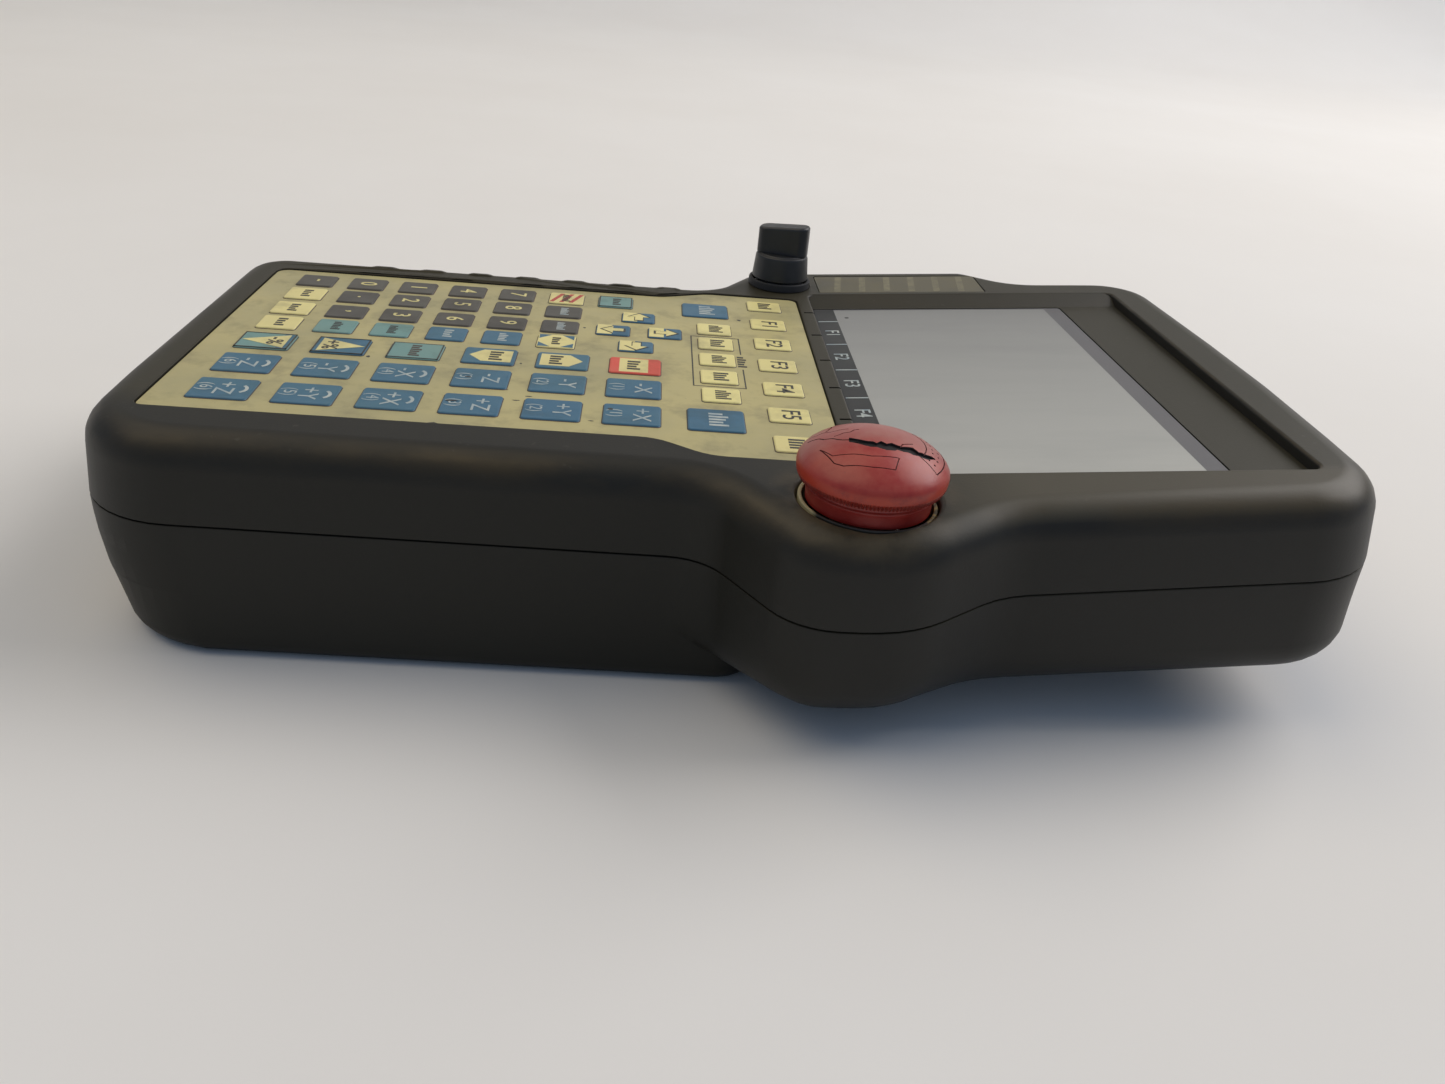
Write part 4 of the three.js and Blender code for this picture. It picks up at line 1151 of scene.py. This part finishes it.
def add_display():
    paints = [BORDER_GREY, SCREEN_GREY, PRINT_DARK, INK_WHITE, BLACK_INK_AND_KEY_SHADE]
    sheet = Print(paints)
    top = -RECESS_DEPTH - 0.1
    pane = workpiece(loft([(0, top - 2.1), (0, top - 0.1), (0.1, top)], rounded_plan(PANE_PLAN)))
    carve(pane, stop_land(0.6, -12, 6))
    near, far = PANE_PLAN[0][1], PANE_PLAN[2][1]
    screen = workpiece(extruded([(165, near + 0.4), (240, near + 0.4), (236.2, far - 1.2), (165, far - 1.2)],
                                top - 0.5, top + INK_RISE, 1))
    carve(screen, stop_land(0.8, -12, 6))
    strip = workpiece(extruded([(158.2, near + 0.4), (165, near + 0.4), (165, far - 0.4), (158.2, far - 0.4)],
                               top - 0.5, top + INK_RISE, 2))
    carve(strip, stop_land(0.8, -12, 6))
    sheet.bodies += [taken(pane), taken(screen), taken(strip)]
    for y in SEPARATORS_Y:
        sheet.bar(158.6, 164.9, y - 0.33, y + 0.33, INK_WHITE, base=top, layer=3)
    for k in range(5):
        sheet.text("F%d" % (k + 1), 161.9, (SEPARATORS_Y[k] + SEPARATORS_Y[k + 1]) / 2, 4.3, INK_WHITE,
                   base=top, layer=3, bold=0.004)
    sheet.bar(244.2, 245.2, near + 0.5, near + 4.5, BLACK_INK_AND_KEY_SHADE, base=top)
    sheet.disc(168.4, 100.0, 0.7, BLACK_INK_AND_KEY_SHADE, base=top, layer=2)
    piece = new_object("display_pane", together(*sheet.bodies), smooth_angle=35)
    finish_piece(piece, "casing", ["display_window"], paints)


def add_status_label():
    paints = [LABEL_PAINT, INK_OLIVE, BLACK_INK_AND_KEY_SHADE]
    sheet = Print(paints)
    x0, x1, y0, y1 = flat_box("status_label")
    sheet.bodies.append(loft([(0, -0.6), (0, -0.18), (0.1, -0.1)],
                             rounded_plan(rectangle(x0, x1, y0, y1, 0.6))))
    for k in range(6):
        x = x0 + 5 + 8.6 * k
        stripe = [(x, y0 + 0.8), (x + 2.2, y0 + 0.8), (x + 4.6, y1 - 0.8), (x + 2.4, y1 - 0.8)]
        sheet.patch(stripe, INK_OLIVE, base=-0.1)
    piece = new_object("status_strip", together(*sheet.bodies), smooth_angle=35)
    finish_piece(piece, "casing", ["status_label"], paints)


# --- stop button

STOP_DOME = [(16.95, 6.6), (17.1, 8.0), (16.95, 8.9), (16.45, 9.8), (15.6, 10.8), (14.4, 11.8), (12.9, 12.8),
             (11.2, 13.6), (9.3, 14.35), (7.2, 15.0), (4.9, 15.55), (2.5, 15.9), (0, 16.0)]


def stop_ripple(radius, z, angle):
    """A fine knurl under the widest rim."""
    if not 4.8 < z < 6.3 or radius < 15:
        return 0
    return 0.3 * math.cos(120 * angle)


def engraving(outlines, depth):
    """Cutters that follow the dome at a constant depth below it."""
    tools = workpiece(together(*[extruded(points, 8, 22) for points in outlines]))
    beneath = [(max(0, r - depth * 0.6), z - depth) for r, z in STOP_DOME]
    carve(tools, turned([(0, 4), (beneath[0][0], 4), *beneath], STOP.x, STOP.y, 96))
    return taken(tools)


def ribbon(points, widths):
    """The outline of a band along points, with a half width at each."""
    left, right = [], []
    for i, (x, y) in enumerate(points):
        before = Vector(points[max(0, i - 1)])
        after = Vector(points[min(len(points) - 1, i + 1)])
        along = (after - before).normalized()
        across = Vector((-along.y, along.x)) * widths[i]
        left.append((x + across.x, y + across.y))
        right.append((x - across.x, y - across.y))
    return right + left[::-1]


def jagged(start, end, sag, steps, rng):
    """A broken line between two points, bowed to one side by sag."""
    line = []
    for k in range(steps + 1):
        share = k / steps
        u = start[0] + (end[0] - start[0]) * share + rng.uniform(-0.25, 0.25)
        v = start[1] + (end[1] - start[1]) * share - sag * math.sin(math.pi * share) + rng.uniform(-0.4, 0.4)
        line.append((STOP.x + u, STOP.y + v))
    return line


def add_stop_button():
    x, y = STOP.x, STOP.y
    neck = [(5.3, 5.6), (5.3, -0.8), (13.7, -0.8), (14.2, -0.4), (14.25, 0.6), (14.25, 2.2), (14.6, 2.7),
            (14.6, 3.2), (14.15, 3.5), (14.15, 4.0)]
    knurled = [(15.0, 4.3), (15.8, 4.7), (15.95, 4.85), (16.25, 5.4), (16.5, 5.95), (16.65, 6.25), (16.85, 6.35)]
    head = workpiece(turned(neck + knurled + STOP_DOME + [(0, 5.6)], x, y, 360, stop_ripple))
    paints = [RED_PLASTIC, CRACK_BLACK, ENGRAVED_RED]
    for paint in paints:
        head.data.materials.append(paint)
    rng = random.Random(5)
    crack = jagged((-14.8, 3.0), (12.6, -4.8), 4.2, 24, rng)
    widths = [max(0.16, 1.75 * math.sin(math.pi * max(0, k / 24 - 0.28) / 0.76) * rng.uniform(0.5, 1.0))
              for k in range(25)]
    carve(head, engraving([ribbon(crack, widths)], 0.5), slot=1)
    chip = [(x - 6.6, y - 1.6), (x - 2.0, y - 4.6), (x + 0.6, y - 6.4), (x - 3.4, y - 5.6), (x - 6.8, y - 3.4)]
    carve(head, engraving([chip], 0.4), slot=1)
    arrow = [(-12.9, -3.4), (-10.6, -7.0), (-6.2, -7.9), (-2.6, -9.0), (3.4, -9.0), (2.2, -12.4), (-2.6, -12.0),
             (-8.6, -10.6), (-10.4, -9.2)]
    lines = [([(x + u, y + v) for u, v in side], 0.11) for side in zip(arrow, arrow[1:] + arrow[:1])]
    for radius in (10.9, 15.3):
        lines.append(([(x + radius * math.cos(a), y + radius * math.sin(a))
                       for a in (math.radians(-38 + 9 * k) for k in range(9))], 0.13))
    for degrees in (-38, 34):
        a = math.radians(degrees)
        lines.append(([(x + r * math.cos(a), y + r * math.sin(a)) for r in (10.9, 15.3)], 0.13))
    for start, end in (((-14.0, 5.4), (-6.2, 3.6)), ((-13.6, 8.0), (-8.4, 9.4)), ((-10.6, 4.8), (-8.0, 11.6)),
                       ((2.4, -5.6), (7.4, -2.2)), ((-9.4, 0.6), (-4.0, 2.4))):
        lines.append((jagged(start, end, 0.3, 6, rng), 0.13))
    for points, half in lines:
        carve(head, engraving([ribbon(points, [half] * len(points))], 0.25), slot=2)
    dots = []
    for k in range(7):
        for radius in (12.4, 13.8):
            a = math.radians(-31 + 9.5 * k)
            px, py = x + radius * math.cos(a), y + radius * math.sin(a)
            dots.append([(px + 0.26 * math.cos(t), py + 0.26 * math.sin(t))
                         for t in (math.pi / 4 * m for m in range(8))])
    carve(head, engraving(dots, 0.3), slot=1)
    piece = new_object("stop_mushroom", taken(head), bend=False, smooth_angle=38)
    finish_piece(piece, "stop_button", ["stop_head"], paints)


def add_legend_ring():
    profile = [(15.0, -7.2), (15.9, -7.2), (15.9, -0.4), (15.7, -0.12), (15.3, -0.1), (15.0, -0.3)]
    piece = new_object("stop_ring", turned(profile, STOP.x, STOP.y, 128), bend=False)
    finish_piece(piece, "casing", ["stop_legend_ring"], [LEGEND_PRINT])


# --- selector knob

def add_knob():
    x, y = SELECTOR.x, SELECTOR.y
    skirt = [(0, 3), (9.3, 3), (9.55, 3.25), (9.5, 4.2), (8.95, 10.1), (8.7, 10.7), (8.3, 10.95), (8.0, 11.0),
             (7.6, 11.3), (0, 11.3)]
    body = workpiece(turned(skirt, x, y, 128))
    grip = rounded_box(-8.6, 8.6, -4.1, 4.1, 10.6, 21.2, 3.2, 1.0, 6)
    for v in grip.verts:
        if v.co.z > 15:
            v.co.z -= 0.09 * max(0, 8.6 - v.co.x) * (v.co.z - 15) / 6.2
            v.co.y *= 1 - 0.010 * (v.co.z - 15)
    bmesh.ops.rotate(grip, verts=grip.verts[:], matrix=Matrix.Rotation(KNOB_TURN, 3, "Z"))
    bmesh.ops.translate(grip, verts=grip.verts[:], vec=(x, y, 0))
    carve(body, grip, "UNION")
    carve(body, rod(x, y, 3.3, 0, 15, 48))
    piece = new_object("knob", taken(body), bend=False, smooth_angle=32)
    finish_piece(piece, "selector", ["selector_knob"], [KNOB_BLACK])


def add_bezel():
    profile = [(9.4, 0.3), (10.6, 0.3), (10.6, 2.2), (10.45, 2.52), (10.1, 2.6), (9.7, 2.6), (9.4, 2.35)]
    piece = new_object("knob_bezel", turned(profile, SELECTOR.x, SELECTOR.y, 128), bend=False)
    finish_piece(piece, "casing", ["selector_bezel"], [MATT_BLACK])


# --- levers, screws, inlet

def lever():
    """An enabling lever on the near side: a ribbed bar with a pin ear at each end."""
    body = workpiece(rounded_box(LEVER_X0, LEVER_X1, LEVER_Y0, LEVER_Y1, -51, -48, 2.5, 0.6))
    grip = workpiece(rounded_box(LEVER_X0 + 2, LEVER_X1 - 2, LEVER_Y0 + 2, LEVER_Y1 - 5, -53, -49.5, 4, 1.1))
    ribs = [rounded_box(x - 1.1, x + 1.1, LEVER_Y0 + 4, LEVER_Y1 - 7, -54, -52.4, 1.05, 0.3)
            for x in (LEVER_X0 + 9 + 6.25 * k for k in range(9))]
    carve(grip, together(*ribs))
    carve(body, taken(grip), "UNION")
    ears = [rounded_box(x, x + 5, PIN_Y - 3, PIN_Y + 3, -49, -41.2, 0.6, 0.6) for x in (LEVER_X0, LEVER_X1 - 5)]
    carve(body, together(*ears), "UNION")
    carve(body, lying(rod(0, 0, PIN_BORE, LEVER_X0 - 5, LEVER_X1 + 5, 32), PIN_Y, PIN_Z))
    return taken(body)


def add_levers():
    for side, bm in zip(("near", "far"), both_sides(lever)):
        piece = new_object("lever_" + side, bm)
        finish_piece(piece, "lever_" + side, ["enable_lever_" + side], [LEVER_GREY])


def add_screws():
    for i, (x, y) in enumerate(SCREWS):
        head = SCREW_SEAT_Z - 0.3
        profile = [(0, head - 2.4), (2.3, head - 2.35), (2.85, head - 2.05), (3.1, head - 1.5), (3.1, head),
                   (1.5, head), (1.5, -10), (0, -10)]
        screw = workpiece(turned(profile, x, y, 48))
        for turn in (0.4 + i, 0.4 + i + math.pi / 2):
            blade = rounded_box(-2, 2, -0.4, 0.4, head - 5, head - 1.1, 0.3, 0.1, 2)
            bmesh.ops.rotate(blade, verts=blade.verts[:], matrix=Matrix.Rotation(turn, 3, "Z"))
            bmesh.ops.translate(blade, verts=blade.verts[:], vec=(x, y, 0))
            carve(screw, blade)
        piece = new_object("screw_%d" % (i + 1), taken(screw))
        finish_piece(piece, "casing", ["case_screw_%d" % (i + 1)], [STEEL])


def coil(x, y, radius, wire, z0, z1, turns):
    """A coil spring of round wire standing at (x, y)."""
    bm = bmesh.new()
    steps, rings = 28 * turns, []
    for k in range(steps + 1):
        a = math.tau * turns * k / steps
        z = z0 + wire + (z1 - z0 - 2 * wire) * k / steps
        rings.append([bm.verts.new((
            x + (radius + wire * math.cos(b)) * math.cos(a),
            y + (radius + wire * math.cos(b)) * math.sin(a),
            z + wire * math.sin(b))) for b in (math.pi / 4 * m for m in range(8))])
    for lower, upper in zip(rings, rings[1:]):
        bridge(bm, lower, upper)
    bm.faces.new(reversed(rings[0]))
    bm.faces.new(rings[-1])
    bmesh.ops.recalc_face_normals(bm, faces=bm.faces[:])
    return bm


def add_springs():
    """The return springs of the stop button and of the enabling levers."""
    low, high = -11.6, -1.2
    piece = new_object("stop_coil", coil(STOP.x, STOP.y, 7.6, 0.6, low, high, 4), bend=False)
    finish_piece(piece, "casing", ["stop_spring"], [STEEL])
    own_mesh(piece)
    middle_x = (LEVER_X0 + LEVER_X1) / 2
    low, high = -47.4, -40.4
    springs = both_sides(lambda: coil(middle_x, PLUNGER_Y, 4, 0.5, low, high, 3))
    for side, bm in zip(("near", "far"), springs):
        piece = new_object("lever_coil_" + side, bm)
        finish_piece(piece, "casing", ["enable_spring_" + side], [STEEL])
        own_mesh(piece)


def add_gland():
    face = INLET_FACE - 0.3
    profile = [(5, -22.6), (5.4, -23), (9.3, -23), (9.9, -22.7), (11.3, -21.2), (11.6, -20.6), (11.6, face),
               (7, face), (7, -5), (5, -5)]
    bm = turned(profile, 0, 0, 144, lambda r, z, a: -0.35 * (math.cos(18 * a) > 0.7) if r > 11 and z < -18 else 0)
    piece = new_object("gland", lying(bm, INLET_Y, INLET_Z))
    finish_piece(piece, "casing", ["cable_gland"], [MATT_BLACK])


def paint_cad_nodes():
    """A paint for every CAD node, found by a word in its name."""
    by_word = [
        ("board_spacer", BRASS), ("stop_nut", BRASS), ("_board", BOARD_GREEN), ("shield", STEEL),
        ("processor", MATT_BLACK), ("ribbon", RIBBON_GREY), ("lcd_glass", SCREEN_GREY), ("backlight", MILKY),
        ("light_pipe", MILKY), ("lcd_frame", STEEL), ("spring", STEEL), ("stem", STEEL), ("shaft", STEEL),
        ("bracket", STEEL), ("pin_", STEEL), ("selector_nut", STEEL),
    ]
    for name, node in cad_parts.items():
        paint = next((paint for word, paint in by_word if word in name), MATT_BLACK)
        node.data.materials.clear()
        node.data.materials.append(paint)


add_camera()
add_light()
add_stage()
add_front_shell()
add_rear_shell()
add_gasket()
add_key_sheet()
add_display()
add_status_label()
add_stop_button()
add_legend_ring()
add_knob()
add_bezel()
add_levers()
add_screws()
add_gland()
add_springs()
paint_cad_nodes()
